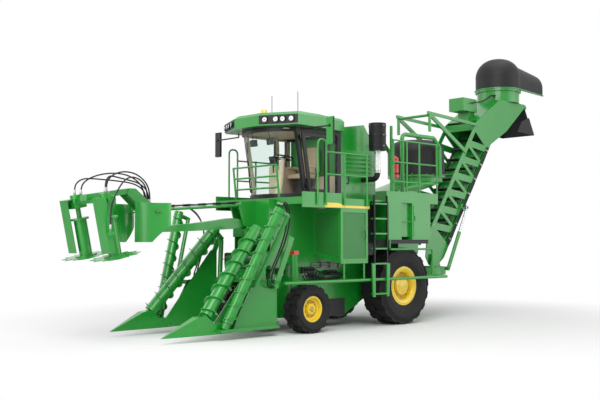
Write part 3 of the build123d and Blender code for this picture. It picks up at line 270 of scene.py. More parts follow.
class PaintShop:
    """Builds node groups and materials once and hands them out by finish."""

    def __init__(self) -> None:
        """Make an empty shop with the shared groups."""
        self.made: dict[str, bpy.types.Material] = {}
        self.surface = self._surface_group()
        self.reliefs = {
            Relief.HOLES: self._mask_group("pierced_holes", self._holes),
            Relief.TREAD_PLATE: self._mask_group("tread_lozenges", self._lozenges),
            Relief.WEAVE: self._mask_group("cloth_threads", self._threads),
        }

    @staticmethod
    def _surface_group() -> bpy.types.NodeTree:
        """Build the shared group of patchy colour, uneven gloss and fine grain.

        Returns:
            A group that mixes two colours by slow noise and puts out a roughness and a grain height.
        """
        tree = bpy.data.node_groups.new("worn_surface", "ShaderNodeTree")
        for way, label, kind in (
            ("INPUT", "Colour", Socket.COLOUR), ("INPUT", "Shade", Socket.COLOUR),
            ("INPUT", "Patch", Socket.VALUE),
            ("INPUT", "Roughness", Socket.VALUE), ("INPUT", "Grain", Socket.VALUE),
            ("OUTPUT", "Colour", Socket.COLOUR), ("OUTPUT", "Roughness", Socket.VALUE),
            ("OUTPUT", "Height", Socket.VALUE),
        ):
            tree.interface.new_socket(label, in_out=way, socket_type=kind.value)
        given = tree.nodes.new("NodeGroupInput").outputs
        place = add(tree, "TexCoord").outputs["Object"]
        slow = add(tree, "TexNoise", {"Vector": place, "Scale": 1.7, "Detail": 5.0}).outputs["Fac"]
        fine = add(tree, "TexNoise", {"Vector": place, "Scale": given["Grain"], "Detail": 3.0}).outputs["Fac"]
        share = Term(tree, slow) * given["Patch"]
        mix = add(tree, "Mix", {"Factor": share.socket, "A": given["Colour"], "B": given["Shade"]},
                  data_type="RGBA")
        swing = (Term(tree, slow) - 0.5) * 0.16
        gloss = swing.by("ADD", given["Roughness"], clamp=True)
        feed(tree, tree.nodes.new("NodeGroupOutput"),
             {"Colour": mix.outputs["Result"], "Roughness": gloss.socket, "Height": fine})
        return tree

    @staticmethod
    def _mask_group(name: str, pattern: Callable[[bpy.types.NodeTree], Term]) -> bpy.types.NodeTree:
        """Build a group that puts out one pattern as a Mask value."""
        tree = bpy.data.node_groups.new(name, "ShaderNodeTree")
        tree.interface.new_socket("Mask", in_out="OUTPUT", socket_type=Socket.VALUE.value)
        feed(tree, tree.nodes.new("NodeGroupOutput"), {"Mask": pattern(tree).socket})
        return tree

    @staticmethod
    def _holes(tree: bpy.types.NodeTree) -> Term:
        """Round holes on a 14 mm grid, on faces that look along X or Y."""
        x, y, z = axes(tree)
        pitch = 2 * math.pi / 0.014
        both = ((x + y) * pitch).by("COSINE") + (z * pitch).by("COSINE")
        return (both - 0.35).by("MULTIPLY", 2.2, clamp=True)

    @staticmethod
    def _lozenges(tree: bpy.types.NodeTree) -> Term:
        """Small raised lozenges every 35 mm along both diagonals."""
        x, y, _ = axes(tree)
        pitch = math.pi / 0.035
        product = ((x + y) * pitch).by("SINE") * ((x - y) * pitch).by("SINE")
        return (product.by("ABSOLUTE") - 0.55).by("MULTIPLY", 4.0, clamp=True)

    @staticmethod
    def _threads(tree: bpy.types.NodeTree) -> Term:
        """Crossing threads at 3 mm."""
        x, y, z = axes(tree)
        pitch = math.pi / 0.003
        return ((y * pitch).by("SINE") * ((x + z) * pitch).by("SINE")).by("ABSOLUTE", clamp=True)

    def _relief_mask(self, tree: bpy.types.NodeTree, finish: Finish) -> bpy.types.NodeSocket:
        """Put in a finish's relief: a shared group, or rings every 21 mm about an axis along Y."""
        if finish.relief is not Relief.RINGS:
            return add(tree, "Group", node_tree=self.reliefs[finish.relief]).outputs["Mask"]
        x, _, z = axes(tree)
        dx, dz = x - finish.centre[0], z - finish.centre[1]
        wave = ((dx * dx + dz * dz).by("SQRT") * 300.0).by("SINE")
        return (wave - 0.6).by("MULTIPLY", 2.5, clamp=True).socket

    def material(self, finish: Finish) -> bpy.types.Material:
        """Give the material of a finish, building it on first use.

        Args:
            finish: The finish wanted.

        Returns:
            Its material.
        """
        if finish.name in self.made:
            return self.made[finish.name]
        material, tree, shader = fresh(finish.name)
        group = add(tree, "Group", {"Colour": (*finish.colour, 1.0), "Shade": (*finish.shade, 1.0),
                                    "Patch": finish.patch, "Roughness": finish.roughness,
                                    "Grain": finish.grain},
                    node_tree=self.surface)
        colour = group.outputs["Colour"]
        bump = add(tree, "Bump", {"Height": group.outputs["Height"], "Strength": finish.bump,
                                  "Distance": 0.002})
        if finish.relief is not Relief.PLAIN:
            mask = self._relief_mask(tree, finish)
            bump = add(tree, "Bump", {"Height": mask, "Normal": bump.outputs["Normal"], "Strength": 0.6,
                                      "Distance": 0.003}, invert=finish.relief is Relief.HOLES)
            if finish.relief is Relief.HOLES:
                dark = add(tree, "Mix", {"Factor": mask, "A": colour, "B": HOLE_COLOUR}, data_type="RGBA")
                colour = dark.outputs["Result"]
        feed(tree, shader, {"Base Color": colour, "Normal": bump.outputs["Normal"],
                            "Metallic": finish.metallic,
                            "Roughness": group.outputs["Roughness"], "Coat Weight": finish.coat,
                            "Coat Roughness": 0.12, "Specular IOR Level": finish.specular})
        self.made[finish.name] = material
        return material

    def glass(self) -> bpy.types.Material:
        """Give the clear, faintly green cab glass, which lets lamp light through unbent."""
        if "cab_glass" in self.made:
            return self.made["cab_glass"]
        material, tree, shader = fresh("cab_glass")
        place = add(tree, "TexCoord").outputs["Object"]
        ripple = add(tree, "TexNoise", {"Vector": place, "Scale": 3.0}).outputs["Fac"]
        bump = add(tree, "Bump", {"Height": ripple, "Strength": 0.01})
        feed(tree, shader, {"Base Color": (0.86, 0.93, 0.90, 1.0), "Roughness": 0.02, "IOR": 1.12,
                            "Transmission Weight": 1.0, "Normal": bump.outputs["Normal"]})
        clear = add(tree, "BsdfTransparent", {"Color": (0.90, 0.95, 0.93, 1.0)})
        shadow = add(tree, "LightPath").outputs["Is Shadow Ray"]
        surface = blended(tree, shadow, shader.outputs["BSDF"], clear.outputs["BSDF"])
        feed(tree, tree.nodes["Material Output"], {"Surface": surface})
        self.made["cab_glass"] = material
        return material


def row(points: Sequence[Point] | Array) -> Array:
    """Move stations measured from the rear axle into the frame."""
    return np.asarray(points, float) + np.array((AXLE, 0.0, 0.0))


def spots(x: float | Array, y: float | Array, z: float | Array) -> Array:
    """Rows of points in the frame from stations; a single number is used for all of them."""
    return row(np.column_stack(np.broadcast_arrays(x, y, z)))


def tiles(rows: int, columns: int, wrap_rows: bool = False) -> Array:
    """Number the quads of a grid of points whose columns go round, and whose rows do where wrapped."""
    i, j = np.meshgrid(np.arange(rows if wrap_rows else rows - 1), np.arange(columns), indexing="ij")
    below, beside = (i + 1) % rows, (j + 1) % columns
    corners = [i * columns + j, i * columns + beside, below * columns + beside, below * columns + j]
    return np.stack(corners, axis=-1).reshape(-1, 4)


def circle(sides: int) -> Array:
    """Even angles of a full turn."""
    return np.linspace(0, 2 * np.pi, sides, endpoint=False)


def frames(axes: Array) -> Array:
    """Turn axes into rotations whose third column is the axis; the first lies as level as it can."""
    z = axes / np.linalg.norm(axes, axis=-1, keepdims=True)
    helper = np.where(np.abs(z[..., 2:3]) > 0.9, (1.0, 0.0, 0.0), (0.0, 0.0, 1.0))
    x = np.cross(helper, z)
    x = x / np.linalg.norm(x, axis=-1, keepdims=True)
    return np.stack([x, np.cross(z, x), z], axis=-1)


@dataclass(frozen=True)
class Shape:
    """Points and quads of a surface.

    Attributes:
        points: Rows of x, y, z.
        quads: Rows of four point numbers.
    """

    points: Array
    quads: Array

    def moved(self, offset: Point) -> Shape:
        """Shift every point."""
        return Shape(self.points + np.asarray(offset, float), self.quads)

    def at(self, station: Point) -> Shape:
        """Put the shape's origin at a station."""
        return self.moved(row(station))

    def turned(self, columns: Sequence[Point] | Array) -> Shape:
        """Send the shape's X, Y and Z to three directions."""
        return Shape(self.points @ np.asarray(columns, float), self.quads)

    def stood(self, axis: Point) -> Shape:
        """Turn the shape's Z to an axis."""
        return self.turned(frames(np.asarray(axis, float)).T)

    def repeated(self, places: Array, axes: Array) -> Shape:
        """Stand one copy at each place along each axis."""
        places = np.asarray(places, float).reshape(-1, 3)
        axes = np.broadcast_to(np.asarray(axes, float), places.shape)
        copies = np.einsum("nij,pj->npi", frames(axes), self.points) + places[:, None, :]
        step = np.arange(len(places))[:, None, None] * len(self.points)
        return Shape(copies.reshape(-1, 3), (self.quads[None] + step).reshape(-1, 4))

    def on(self, side: Side) -> Shape:
        """Put a left-hand shape on a side, reflecting it in the machine's middle plane for the right."""
        if side is Side.LEFT:
            return self
        return Shape(self.points * (1.0, -1.0, 1.0), self.quads[:, ::-1])


def joined(*shapes: Shape) -> Shape:
    """Put several shapes into one."""
    starts = np.cumsum([0] + [len(shape.points) for shape in shapes[:-1]])
    return Shape(np.concatenate([shape.points for shape in shapes]),
                 np.concatenate([shape.quads + start for shape, start in zip(shapes, starts)]))


def lathe(profile: Sequence[Sequence[float]], sides: int = 24) -> Shape:
    """Carry a profile of (radius, height) round Z: (r cos a, r sin a, h)."""
    profile = np.asarray(profile, float)
    angle = circle(sides)
    radius, height = profile[:, :1], profile[:, 1:]
    points = np.stack([radius * np.cos(angle), radius * np.sin(angle), height + 0 * angle], axis=-1)
    return Shape(points.reshape(-1, 3), tiles(len(profile), sides))


def button(profile: Sequence[Sequence[float]], sides: int) -> Shape:
    """Lathe a profile whose two ends are shut on the axis, level with its first and last points."""
    return lathe([(0.0, profile[0][1]), *profile, (0.0, profile[-1][1])], sides)


def band(inner: float, outer: float, half: float, sides: int) -> Shape:
    """Clamp band round Z, drawn in by 2 mm at both edges."""
    return lathe([(inner, -half), (outer, 0.002 - half), (outer, half - 0.002), (inner, half)], sides)


def tube(path: Array, radius: float | Array, sides: int = 10) -> Shape:
    """Carry a circle along a path: p + r (n cos a + b sin a), shut by a point at each end."""
    path = np.asarray(path, float)
    turn = frames(np.gradient(path, axis=0))
    angle = circle(sides)[None, :, None]
    size = np.broadcast_to(np.asarray(radius, float), (len(path),))[:, None, None]
    ring = turn[:, None, :, 0] * np.cos(angle) + turn[:, None, :, 1] * np.sin(angle)
    rows = path[:, None, :] + size * ring
    rows = np.concatenate([np.repeat(path[:1, None], sides, 1), rows, np.repeat(path[-1:, None], sides, 1)])
    return Shape(rows.reshape(-1, 3), tiles(len(rows), sides))


def curve(points: Sequence[Point], count: int) -> Array:
    """Catmull-Rom curve through points: a cubic between each pair with the neighbours' slopes."""
    knots = np.asarray(points, float)
    padded = np.concatenate([2 * knots[:1] - knots[1:2], knots, 2 * knots[-1:] - knots[-2:-1]])
    at = np.linspace(0, len(knots) - 1, count)
    index = np.minimum(at.astype(int), len(knots) - 2)
    t = (at - index)[:, None]
    a, b, c, d = (padded[index + k] for k in range(4))
    square, cube = 2 * a - 5 * b + 4 * c - d, 3 * b - a - 3 * c + d
    return 0.5 * (2 * b + (c - a) * t + square * t ** 2 + cube * t ** 3)


def pipe(stations: Sequence[Point], count: int, radius: float) -> Shape:
    """Tube on a smooth curve through stations."""
    return tube(row(curve(stations, count)), radius)


def pull(foot: Point, span: float, ease: float, reach: tuple[float, float], count: int,
         radius: float) -> Shape:
    """C handle that stands out from a left-hand face.

    Args:
        foot: Station of its lower end.
        span: Height from end to end.
        ease: How far its bends stand in from the ends.
        reach: How far the bends and the middle stand out.
        count: Points along it.
        radius: Its tube's radius.

    Returns:
        The handle.
    """
    x, y, z = foot
    out = (0.0, reach[0], reach[1], reach[0], 0.0)
    up = (0.0, ease, span / 2, span - ease, span)
    return pipe([(x, y + a, z + b) for a, b in zip(out, up)], count, radius)


def outline(half_x: float, half_y: float, corner: float, each: int = 4) -> Array:
    """Rounded rectangle: inner corner plus radius times (cos a, sin a), a quarter turn each."""
    angle = np.concatenate([np.linspace(k * np.pi / 2, (k + 1) * np.pi / 2, each) for k in range(4)])
    inner = np.repeat(np.array([(1, 1), (-1, 1), (-1, -1), (1, -1)], float), each, axis=0)
    return inner * (half_x - corner, half_y - corner) + corner * np.stack([np.cos(angle), np.sin(angle)],
                                                                          axis=-1)


def slab(half: Sequence[float], corner: float, edge: float) -> Shape:
    """Rounded block: a rounded rectangle carried up Z, drawn in by the edge at both ends and shut."""
    full = outline(half[0], half[1], corner)
    drawn = outline(half[0] - edge, half[1] - edge, max(corner - edge, 0.001))
    flat = np.zeros_like(full)
    top = half[2]
    levels = [(flat, -top), (drawn, -top), (full, edge - top), (full, top - edge), (drawn, top), (flat, top)]
    points = np.concatenate([np.column_stack([ring, np.full(len(ring), height)]) for ring, height in levels])
    return Shape(points, tiles(len(levels), len(full)))


def loft(sections: Array) -> Shape:
    """Join rings of points in order and shut both ends at the rings' middles."""
    sections = np.asarray(sections, float)
    first, last = (np.repeat(sections[k].mean(axis=0, keepdims=True), sections.shape[1],
                             0)[None] for k in (0, -1))
    rows = np.concatenate([first, sections, last])
    return Shape(rows.reshape(-1, 3), tiles(len(rows), sections.shape[1]))


def hex_head(across: float, height: float) -> Shape:
    """Bolt head: a washer and a six-sided head with a drawn-in top."""
    washer = button([(across * 0.72, 0), (across * 0.72, height * 0.2)], 12)
    head = lathe([(across * 0.55, height * 0.2), (across * 0.55, height * 0.85), (across * 0.46, height),
                  (0, height)], 6)
    return joined(washer, head)


def rivet() -> Shape:
    """Domed rivet head."""
    return lathe([(0.0, 0.005), (0.007, 0.0035), (0.010, 0.0), (0.0, 0.0)], 12)


def hoop(radius: float, thick: float, sides: int = 48, round_sides: int = 10) -> Shape:
    """Ring of round section: ((R + r cos b) cos a, (R + r cos b) sin a, r sin b)."""
    a, b = circle(sides)[:, None], circle(round_sides)[None]
    reach = radius + thick * np.cos(b)
    points = np.stack([reach * np.cos(a), reach * np.sin(a), thick * np.sin(b) + 0 * a], axis=-1)
    return Shape(points.reshape(-1, 3), tiles(sides, round_sides, wrap_rows=True))


def cushion(half: Sequence[float], crown: float, pinch: float, channels: Sequence[float] = ()) -> Shape:
    """Padded block over angles u and v.

    The base is a superellipsoid, sign(cos)|cos|^0.35 along each axis. Its sides draw in between the corners
    by the pinch times (1 - s^2), its top rises by the crown times (1 - x^2)(1 - y^2), and each sewn channel
    sinks the top by 8 mm times exp(-(x - c)^2 / w^2).
    """
    def bent(values: Array) -> Array:
        """Flatten a sine or cosine towards a block's sides."""
        return np.sign(values) * np.abs(values) ** 0.35

    u = circle(72)[None]
    v = np.linspace(-np.pi / 2, np.pi / 2, 33)[:, None]
    x, y, z = bent(np.cos(v)) * bent(np.cos(u)), bent(np.cos(v)) * bent(np.sin(u)), bent(np.sin(v)) + 0 * u
    rise = crown * (1 - x ** 2) * (1 - y ** 2) * (z > 0)
    sunk = sum(0.008 * np.exp(-((x - c) / 0.05) ** 2) * (z > 0) for c in channels)
    points = np.stack([x * (half[0] - pinch * (1 - y ** 2)), y * (half[1] - pinch * (1 - x ** 2)),
                       z * half[2] + rise - sunk], axis=-1)
    return Shape(points.reshape(-1, 3), tiles(33, 72))


@dataclass
class Bench:
    """Makes finished pieces from shapes.

    Attributes:
        shop: Where the materials come from.
        made: Names of the pieces so far.
    """

    shop: PaintShop
    made: list[str] = field(default_factory=list)

    def piece(self, name: str, shape: Shape, finish: Finish, body: str = "chassis", crease: float = 35.0,
              stands_for: str | None = None) -> bpy.types.Object:
        """Put a shape into a mesh, shut its poles, face it outwards, paint it and let it ride.

        Args:
            name: Piece name.
            shape: Points and quads in the frame.
            finish: Its finish.
            body: The body it rides on.
            crease: Angle in degrees past which edges stay sharp.
            stands_for: A node that it takes the place of.

        Returns:
            The piece.
        """
        mesh = bpy.data.meshes.new(name)
        mesh.from_pydata(shape.points.tolist(), [], shape.quads.tolist())
        work = bmesh.new()
        work.from_mesh(mesh)
        bmesh.ops.remove_doubles(work, verts=work.verts, dist=1e-5)
        bmesh.ops.recalc_face_normals(work, faces=work.faces)
        work.to_mesh(mesh)
        work.free()
        mesh.shade_smooth()
        mesh.set_sharp_from_angle(angle=math.radians(crease))
        mesh.materials.append(self.shop.material(finish))
        piece = bpy.data.objects.new(name, mesh)
        bpy.context.scene.collection.objects.link(piece)
        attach(piece, body)
        if stands_for:
            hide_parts(stands_for)
        self.made.append(name)
        return piece

    def pairs(self, *items: tuple[str, Shape, Finish], body: str = "chassis") -> None:
        """Make left-hand shapes on both sides.

        Args:
            *items: Name without the side's letter, left-hand shape and finish of each piece.
            body: The body they ride on; one that ends in an underscore gets the side's letter.
        """
        for side in Side:
            rides = body + side.letter if body.endswith("_") else body
            for name, shape, finish in items:
                self.piece(f"{name}_{side.letter}", shape.on(side), finish, rides)


class Faces:
    """Middles and normals of a mesh's faces; x is a station, off the distance from the middle plane."""

    def __init__(self, mesh: bpy.types.Mesh) -> None:
        """Read the faces of a mesh."""
        middles, normals = np.zeros((2, 3 * len(mesh.polygons)), np.float32)
        mesh.polygons.foreach_get("center", middles)
        mesh.polygons.foreach_get("normal", normals)
        x, self.y, self.z = middles.reshape(-1, 3).T
        self.x = x - AXLE
        self.nx, self.ny, self.nz = normals.reshape(-1, 3).T
        self.off = np.abs(self.y)

    def from_hub(self, hub: tuple[float, float]) -> Array:
        """Distance from a line along Y through x and z."""
        return np.hypot(self.x - hub[0], self.z - hub[1])

    def from_post(self, post: tuple[float, float]) -> Array:
        """Distance from a line along Z through x and y."""
        return np.hypot(self.x - post[0], self.y - post[1])


@dataclass(frozen=True)
class Patch:
    """Faces of one node that get another finish than the rest.

    Attributes:
        node: Start of the node's name.
        finish: The faces' finish.
        where: Says which faces it is.
    """

    node: str
    finish: Finish
    where: Callable[[Faces], Array]


NODE_FINISH: dict[str, Finish] = {
    "rear_tyre": tyre_finish(REAR_HUB, "rear_tyre_rubber"),
    "front_tyre": tyre_finish(FRONT_HUB, "front_tyre_rubber"),
    "rear_rim": YELLOW, "front_rim": YELLOW, "engine_block": IRON, "cab_frame": BLACK, "cab_door": BLACK,
    "operator_station": PAINTED_LIGHT_TRIM, "mirrors": BLACK, "exhaust_stack": HOSE, "roof_lamps": BLACK,
    "primary_hood": HOOD,
    "secondary_hood": HOOD, "elevator_flap": HOOD, "lift_rods": STEEL, "elevator_conveyor": IRON,
    "primary_fan": DARK_GREEN, "secondary_fan": DARK_GREEN, "knockdown_roller": DARK_GREEN,
    "basecutter": IRON,
    "topper_hoses": HOSE, "belly_curtains": CURTAIN,
}

PATCHES = (
    Patch("exhaust_stack", CANISTER, lambda f: f.z > 3.455),
    Patch("exhaust_stack", PIPE, lambda f: (f.z <= 3.455) & (f.z > 3.03)),
    Patch("safety_gear", RED, lambda f: (f.from_post(EXTINGUISHER) < 0.078) | (f.z < 1.6)),
    Patch("roof_lamps", YELLOW, lambda f: f.from_post((2.760, 0.0)) < 0.07),
    Patch("mirrors", GREEN, lambda f: (f.off > 1.52) & ((f.nx > 0.7) & (f.y > 0) | (f.nz > 0.7))),
    Patch("mirrors", MIRROR, lambda f: (f.off > 1.52) & (f.nx < -0.7)),
    Patch("ladder", BLACK, lambda f: (f.z > 1.25) & (f.y > 1.299) & (np.abs(f.x - LADDER) > 0.168)),
    # The ladder steps' upward faces get a painted highlight in paler green.
    Patch("ladder", TOP_LIT_GREEN, lambda f: (f.nz > 0.7) & (np.abs(f.x - LADDER) < 0.168)),
    Patch("secondary_hood", GREEN, lambda f: f.z < 5.5035),
    Patch("cooler_boxes", SCREEN, lambda f: (np.abs(f.off - 1.238) < 0.001) & (np.abs(f.ny) > 0.9)),
    Patch("cooler_boxes", SCREEN, lambda f: (np.abs(f.x - 1.938) < 0.001) & (f.nx > 0.9)),
    Patch("deck", DECKING, lambda f: f.nz > 0.9),
    # The rims' recessed dish rings get painted shade in the darker yellow.
    Patch("rear_rim", SHADED_YELLOW, lambda f: (f.from_hub(REAR_HUB) > 0.186) & (f.from_hub(REAR_HUB) < 0.300)),


             Patch("front_rim", SHADED_YELLOW,
                   lambda f: (f.from_hub(FRONT_HUB) > 0.112) & (f.from_hub(FRONT_HUB) < 0.165)),
    # The inner faces of the cab posts and the rear wall take the beige trim with its painted light.
    Patch("cab_frame", PAINTED_LIGHT_TRIM, lambda f: (np.abs(f.off - 0.690) < 0.001) & (f.y * f.ny < 0)),
    Patch("cab_frame", PAINTED_LIGHT_TRIM, lambda f: (f.x < 1.47) & (f.nx > 0.7)),
    Patch("cab_frame", DARK_TRIM, lambda f: (f.z < 2.57) & (f.nz > 0.7)),
    Patch("side_tanks", BLACK, lambda f: f.z < 1.6999),
    # Painted shade: black on the side tanks' faces in the recess behind the ladder.
    Patch("side_tanks", BLACK, lambda f: (np.abs(f.off - 0.91) < 0.012) & (f.x > 0.592)),
    # Painted shade: the throat's lower walls under the coolers get the darker green.
    Patch("throat_housing", DARK_GREEN, lambda f: (f.off < 0.5005) & (f.z < 1.75)),
)


@dataclass
class CadDressing:
    """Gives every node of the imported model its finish, and some faces one of their own."""

    shop: PaintShop
    nodes: dict[str, bpy.types.Object]

    def finish_of(self, node: str) -> Finish:
        """Look a node's finish up by the start of its name; green paint is the default."""
        return next((finish for start, finish in NODE_FINISH.items() if node.startswith(start)), GREEN)

    def dress(self) -> None:
        """Paint each node, then the faces that its patches name."""
        for name, obj in self.nodes.items():
            mesh = obj.data
            mesh.materials.clear()
            glazed = "glass" in name
            mesh.materials.append(self.shop.glass() if glazed else self.shop.material(self.finish_of(name)))
            patches = [patch for patch in PATCHES if name.startswith(patch.node)]
            if not patches:
                continue
            faces = Faces(mesh)
            index = np.zeros(len(mesh.polygons), np.int32)
            for patch in patches:
                mesh.materials.append(self.shop.material(patch.finish))
                index[patch.where(faces)] = len(mesh.materials) - 1
            mesh.polygons.foreach_set("material_index", index)


@dataclass
class TopperHoses:
    """Five hoses that arch from the topper's manifold to its drum motors and its left flow valve.

    Attributes:
        bench: Where pieces are made.
        pin: The boom's front pin, which the routes are measured from.
        radius: Hose radius.
        lengths: Real length of each hose; not used.
        drawn: Points of the two left-hand hoses and the middle one, in metres.
    """

    bench: Bench
    pin: tuple[float, float, float] = (5.300 + AXLE, 0.0, 1.860)
    radius: float = 0.0125
    lengths: tuple[float, ...] = (1.537, 1.538, 2.102, 1.538, 1.537)
    drawn: tuple[tuple[tuple[float, float, float], ...], ...] = (
        ((0.09, 0.08, 0.47), (0.09, 0.08, 0.63), (0.18, 0.095, 0.80), (0.38, 0.13, 0.92), (0.63, 0.20, 0.95),
         (0.86, 0.285, 0.91), (1.03, 0.35, 0.83), (1.12, 0.395, 0.72), (1.12, 0.395, 0.61)),
        ((0.09, 0.04, 0.47), (0.09, 0.04, 0.58), (0.16, 0.05, 0.70), (0.32, 0.08, 0.78), (0.54, 0.15, 0.81),
         (0.78, 0.25, 0.83), (0.98, 0.35, 0.845), (1.085, 0.415, 0.835), (1.16, 0.46, 0.775),
         (1.19, 0.48, 0.695),
         (1.19, 0.48, 0.61)),
        ((0.09, 0.0, 0.47), (0.09, 0.0, 0.61), (0.16, 0.04, 0.75), (0.33, 0.13, 0.84), (0.56, 0.28, 0.86),
         (0.77, 0.45, 0.82), (0.95, 0.59, 0.73), (1.09, 0.67, 0.59), (1.19, 0.69, 0.41), (1.222, 0.695, 0.21),
         (1.222, 0.695, 0.02)),
    )

    def routes(self) -> list[Array]:
        """Points of all five hoses in the frame; the last two mirror the second and the first."""
        first, second, middle = (np.asarray(route) for route in self.drawn)
        flip = np.array((1.0, -1.0, 1.0))
        return [route + np.asarray(self.pin) for route in (first, second, middle, second * flip,
                                                           first * flip)]

    def cord(self, number: int, points: Array) -> None:
        """Args:
            number: Which hose.
            points: Its route in the frame.
        """
        line = bpy.data.curves.new(f"topper_hose_{number + 1}", "CURVE")
        line.dimensions = "3D"
        line.bevel_depth = self.radius
        line.bevel_resolution = 3
        line.use_fill_caps = True
        spline = line.splines.new("NURBS")
        spline.points.add(len(points) - 1)
        spline.points.foreach_set("co", np.column_stack([points, np.ones(len(points))]).ravel())
        spline.order_u = 3
        spline.use_endpoint_u = True
        spline.resolution_u = 8
        line.materials.append(self.bench.shop.material(HOSE))
        piece = bpy.data.objects.new(line.name, line)
        bpy.context.scene.collection.objects.link(piece)
        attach(piece, "topper")
        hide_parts("topper_hoses")
        self.bench.made.append(piece.name)

    def build(self) -> None:
        """Make the hoses, and a crimped ferrule with a hexagon on both ends of each one."""
        routes = self.routes()
        for number, points in enumerate(routes):
            self.cord(number, points)
        crimp = lathe([(0.0135, 0.045), (0.0175, 0.043), (0.0185, 0.03), (0.0185, 0.0), (0.0215, -0.002),
                       (0.0215, -0.006)], 16)
        ferrule = joined(crimp, button([(0.0245, -0.006), (0.0245, -0.028)], 6))
        ends = np.array([points[end] for points in routes for end in (0, -1)])
        self.bench.piece("topper_hose_ferrules", ferrule.repeated(ends, UP), ZINC, "topper")


@dataclass
class BoomHoses:
    """Hoses clipped along the top of the topper's upper links.

    Attributes:
        bench: Where pieces are made.
        rear: Rear pin of the links.
        front: Front pin of the links.
        lift: Height of the hoses over the line from pin to pin.
    """

    bench: Bench
    rear: tuple[float, float, float] = (3.400, 0.0, 2.330)
    front: tuple[float, float, float] = (5.400, 0.0, 2.190)
    lift: float = 0.052

    def build(self) -> None:
        """Make three tubes on straight lines with a slight wave, and six saddle clamps over them."""
        start, run = np.array(self.rear), np.array(self.front) - np.array(self.rear)
        share = np.linspace(0.03, 0.965, 60)[:, None]
        hoses = []
        for number, across in enumerate((-0.034, 0.0, 0.034)):
            wave = 0.006 * np.sin(share * 21 + number) * np.sin(share * np.pi)
            line = start + run * share + (0.0, across, self.lift) + wave * (0.0, 0.3, 1.0)
            hoses.append(tube(row(line), 0.0125))
        self.bench.piece("boom_hoses", joined(*hoses), HOSE, "links")
        places = start + run * np.linspace(0.08, 0.92, 6)[:, None] + (0.0, 0.0, self.lift)
        saddle = slab((0.018, 0.105, 0.021), 0.008, 0.004)
        self.bench.piece("boom_hose_clamps", joined(*[saddle.at(place) for place in places]), BLACK, "links")


@dataclass
class ScrollHoses:
    """Motor hoses that loop from each outer scroll's top down to its divider."""

    bench: Bench
    runs: tuple[tuple[tuple[float, float, float], ...], ...] = (
        ((3.640, 1.455, 2.300), (3.500, 1.420, 2.330), (3.340, 1.330, 2.200), (3.260, 1.240, 1.950),
         (3.300, 1.160, 1.620), (3.420, 1.110, 1.320), (3.520, 1.080, 1.060), (3.450, 1.040, 0.930),
         (3.360, 1.000, 0.940), (3.330, 0.958, 0.985)),
        ((3.650, 1.400, 2.320), (3.480, 1.370, 2.300), (3.330, 1.270, 2.120), (3.290, 1.180, 1.850),
         (3.370, 1.120, 1.520), (3.500, 1.090, 1.240), (3.600, 1.070, 1.020), (3.560, 1.030, 0.880),
         (3.440, 0.990, 0.860), (3.380, 0.958, 0.920)),
    )

    def build(self) -> None:
        """Make a tube along a smooth curve through each run's points, with a fitting at both ends."""
        fitting = joined(button([(0.016, 0.03), (0.016, -0.02)], 14),
                         button([(0.021, 0.008), (0.021, -0.012)], 6))
        lines = [curve(run, 70) for run in self.runs]
        ends = np.array([line[k] for line in lines for k in (0, -1)])
        axes = np.array([line[a] - line[b] for line in lines for a, b in ((1, 0), (-2, -1))])
        self.bench.pairs(("scroll_hoses", joined(*[tube(row(line), 0.014) for line in lines]), HOSE),
                         ("scroll_hose_ends", fitting.repeated(row(ends), axes), ZINC), body="crop_divider_")


@dataclass
class Wheels:
    """Nuts, front hub caps and rear wheel discs.

    Attributes:
        bench: Where pieces are made.
        rear_discs: Name, profile as radius and distance out from the wheel's middle plane, and finish of each
            turned part of a rear wheel's disc.
    """

    bench: Bench
    rear_discs: tuple[tuple[str, tuple[tuple[float, float], ...], Finish], ...] = (
        ("ring", ((0.356, 0.150), (0.358, 0.222), (0.348, 0.228), (0.302, 0.218), (0.286, 0.206),
                  (0.277, 0.184),
                  (0.270, 0.124), (0.264, 0.100), (0.280, 0.100), (0.330, 0.150)), YELLOW),
        # The dish is painted in the darker yellow as painted shade in the wheel's recess.
        ("dish", ((0.190, 0.095), (0.190, 0.122), (0.272, 0.122), (0.272, 0.095)), SHADED_YELLOW),
        ("hub", ((0.192, 0.100), (0.192, 0.128), (0.184, 0.172), (0.172, 0.186), (0.100, 0.190),
                 (0.060, 0.196),
                 (0.0, 0.198)), YELLOW),
    )

    def ring(self, hub: tuple[float, float], y: float, radius: float, count: int, across: float) -> Shape:
        """Stand nuts at even angles on a circle in a wheel's face."""
        angle = circle(count)
        places = spots(hub[0] + radius * np.cos(angle), y, hub[1] + radius * np.sin(angle))
        return hex_head(across, across * 0.9).repeated(places, OUT)

    def build(self) -> None:
        """Make each wheel's nuts, and the caps and discs as profiles turned about the axle."""
        nuts = joined(self.ring(FRONT_HUB, 1.060, 0.128, 8, 0.024),
                      self.ring(FRONT_HUB, 1.120, 0.070, 6, 0.014))
        cap = lathe([(0.0, 0.026), (0.030, 0.024), (0.044, 0.012), (0.046, -0.002), (0.0, -0.002)], 28)
        cap = cap.stood(OUT).at((FRONT_HUB[0], 1.120, FRONT_HUB[1]))
        # The front hub caps also take the darker yellow of painted shade.
        self.bench.pairs(("front_nuts", nuts, YELLOW), ("front_cap", cap, SHADED_YELLOW), body="front_wheel_")
        discs = [(f"rear_{name}", lathe(profile, 48).stood(OUT).at((REAR_HUB[0], 0.920, REAR_HUB[1])), finish)
                 for name, profile, finish in self.rear_discs]
        nuts = joined(self.ring(REAR_HUB, 1.041, 0.226, 10, 0.030),
                      self.ring(REAR_HUB, 1.110, 0.120, 8, 0.018))
        self.bench.pairs(*discs, ("rear_nuts", nuts, YELLOW), body="rear_wheel_")


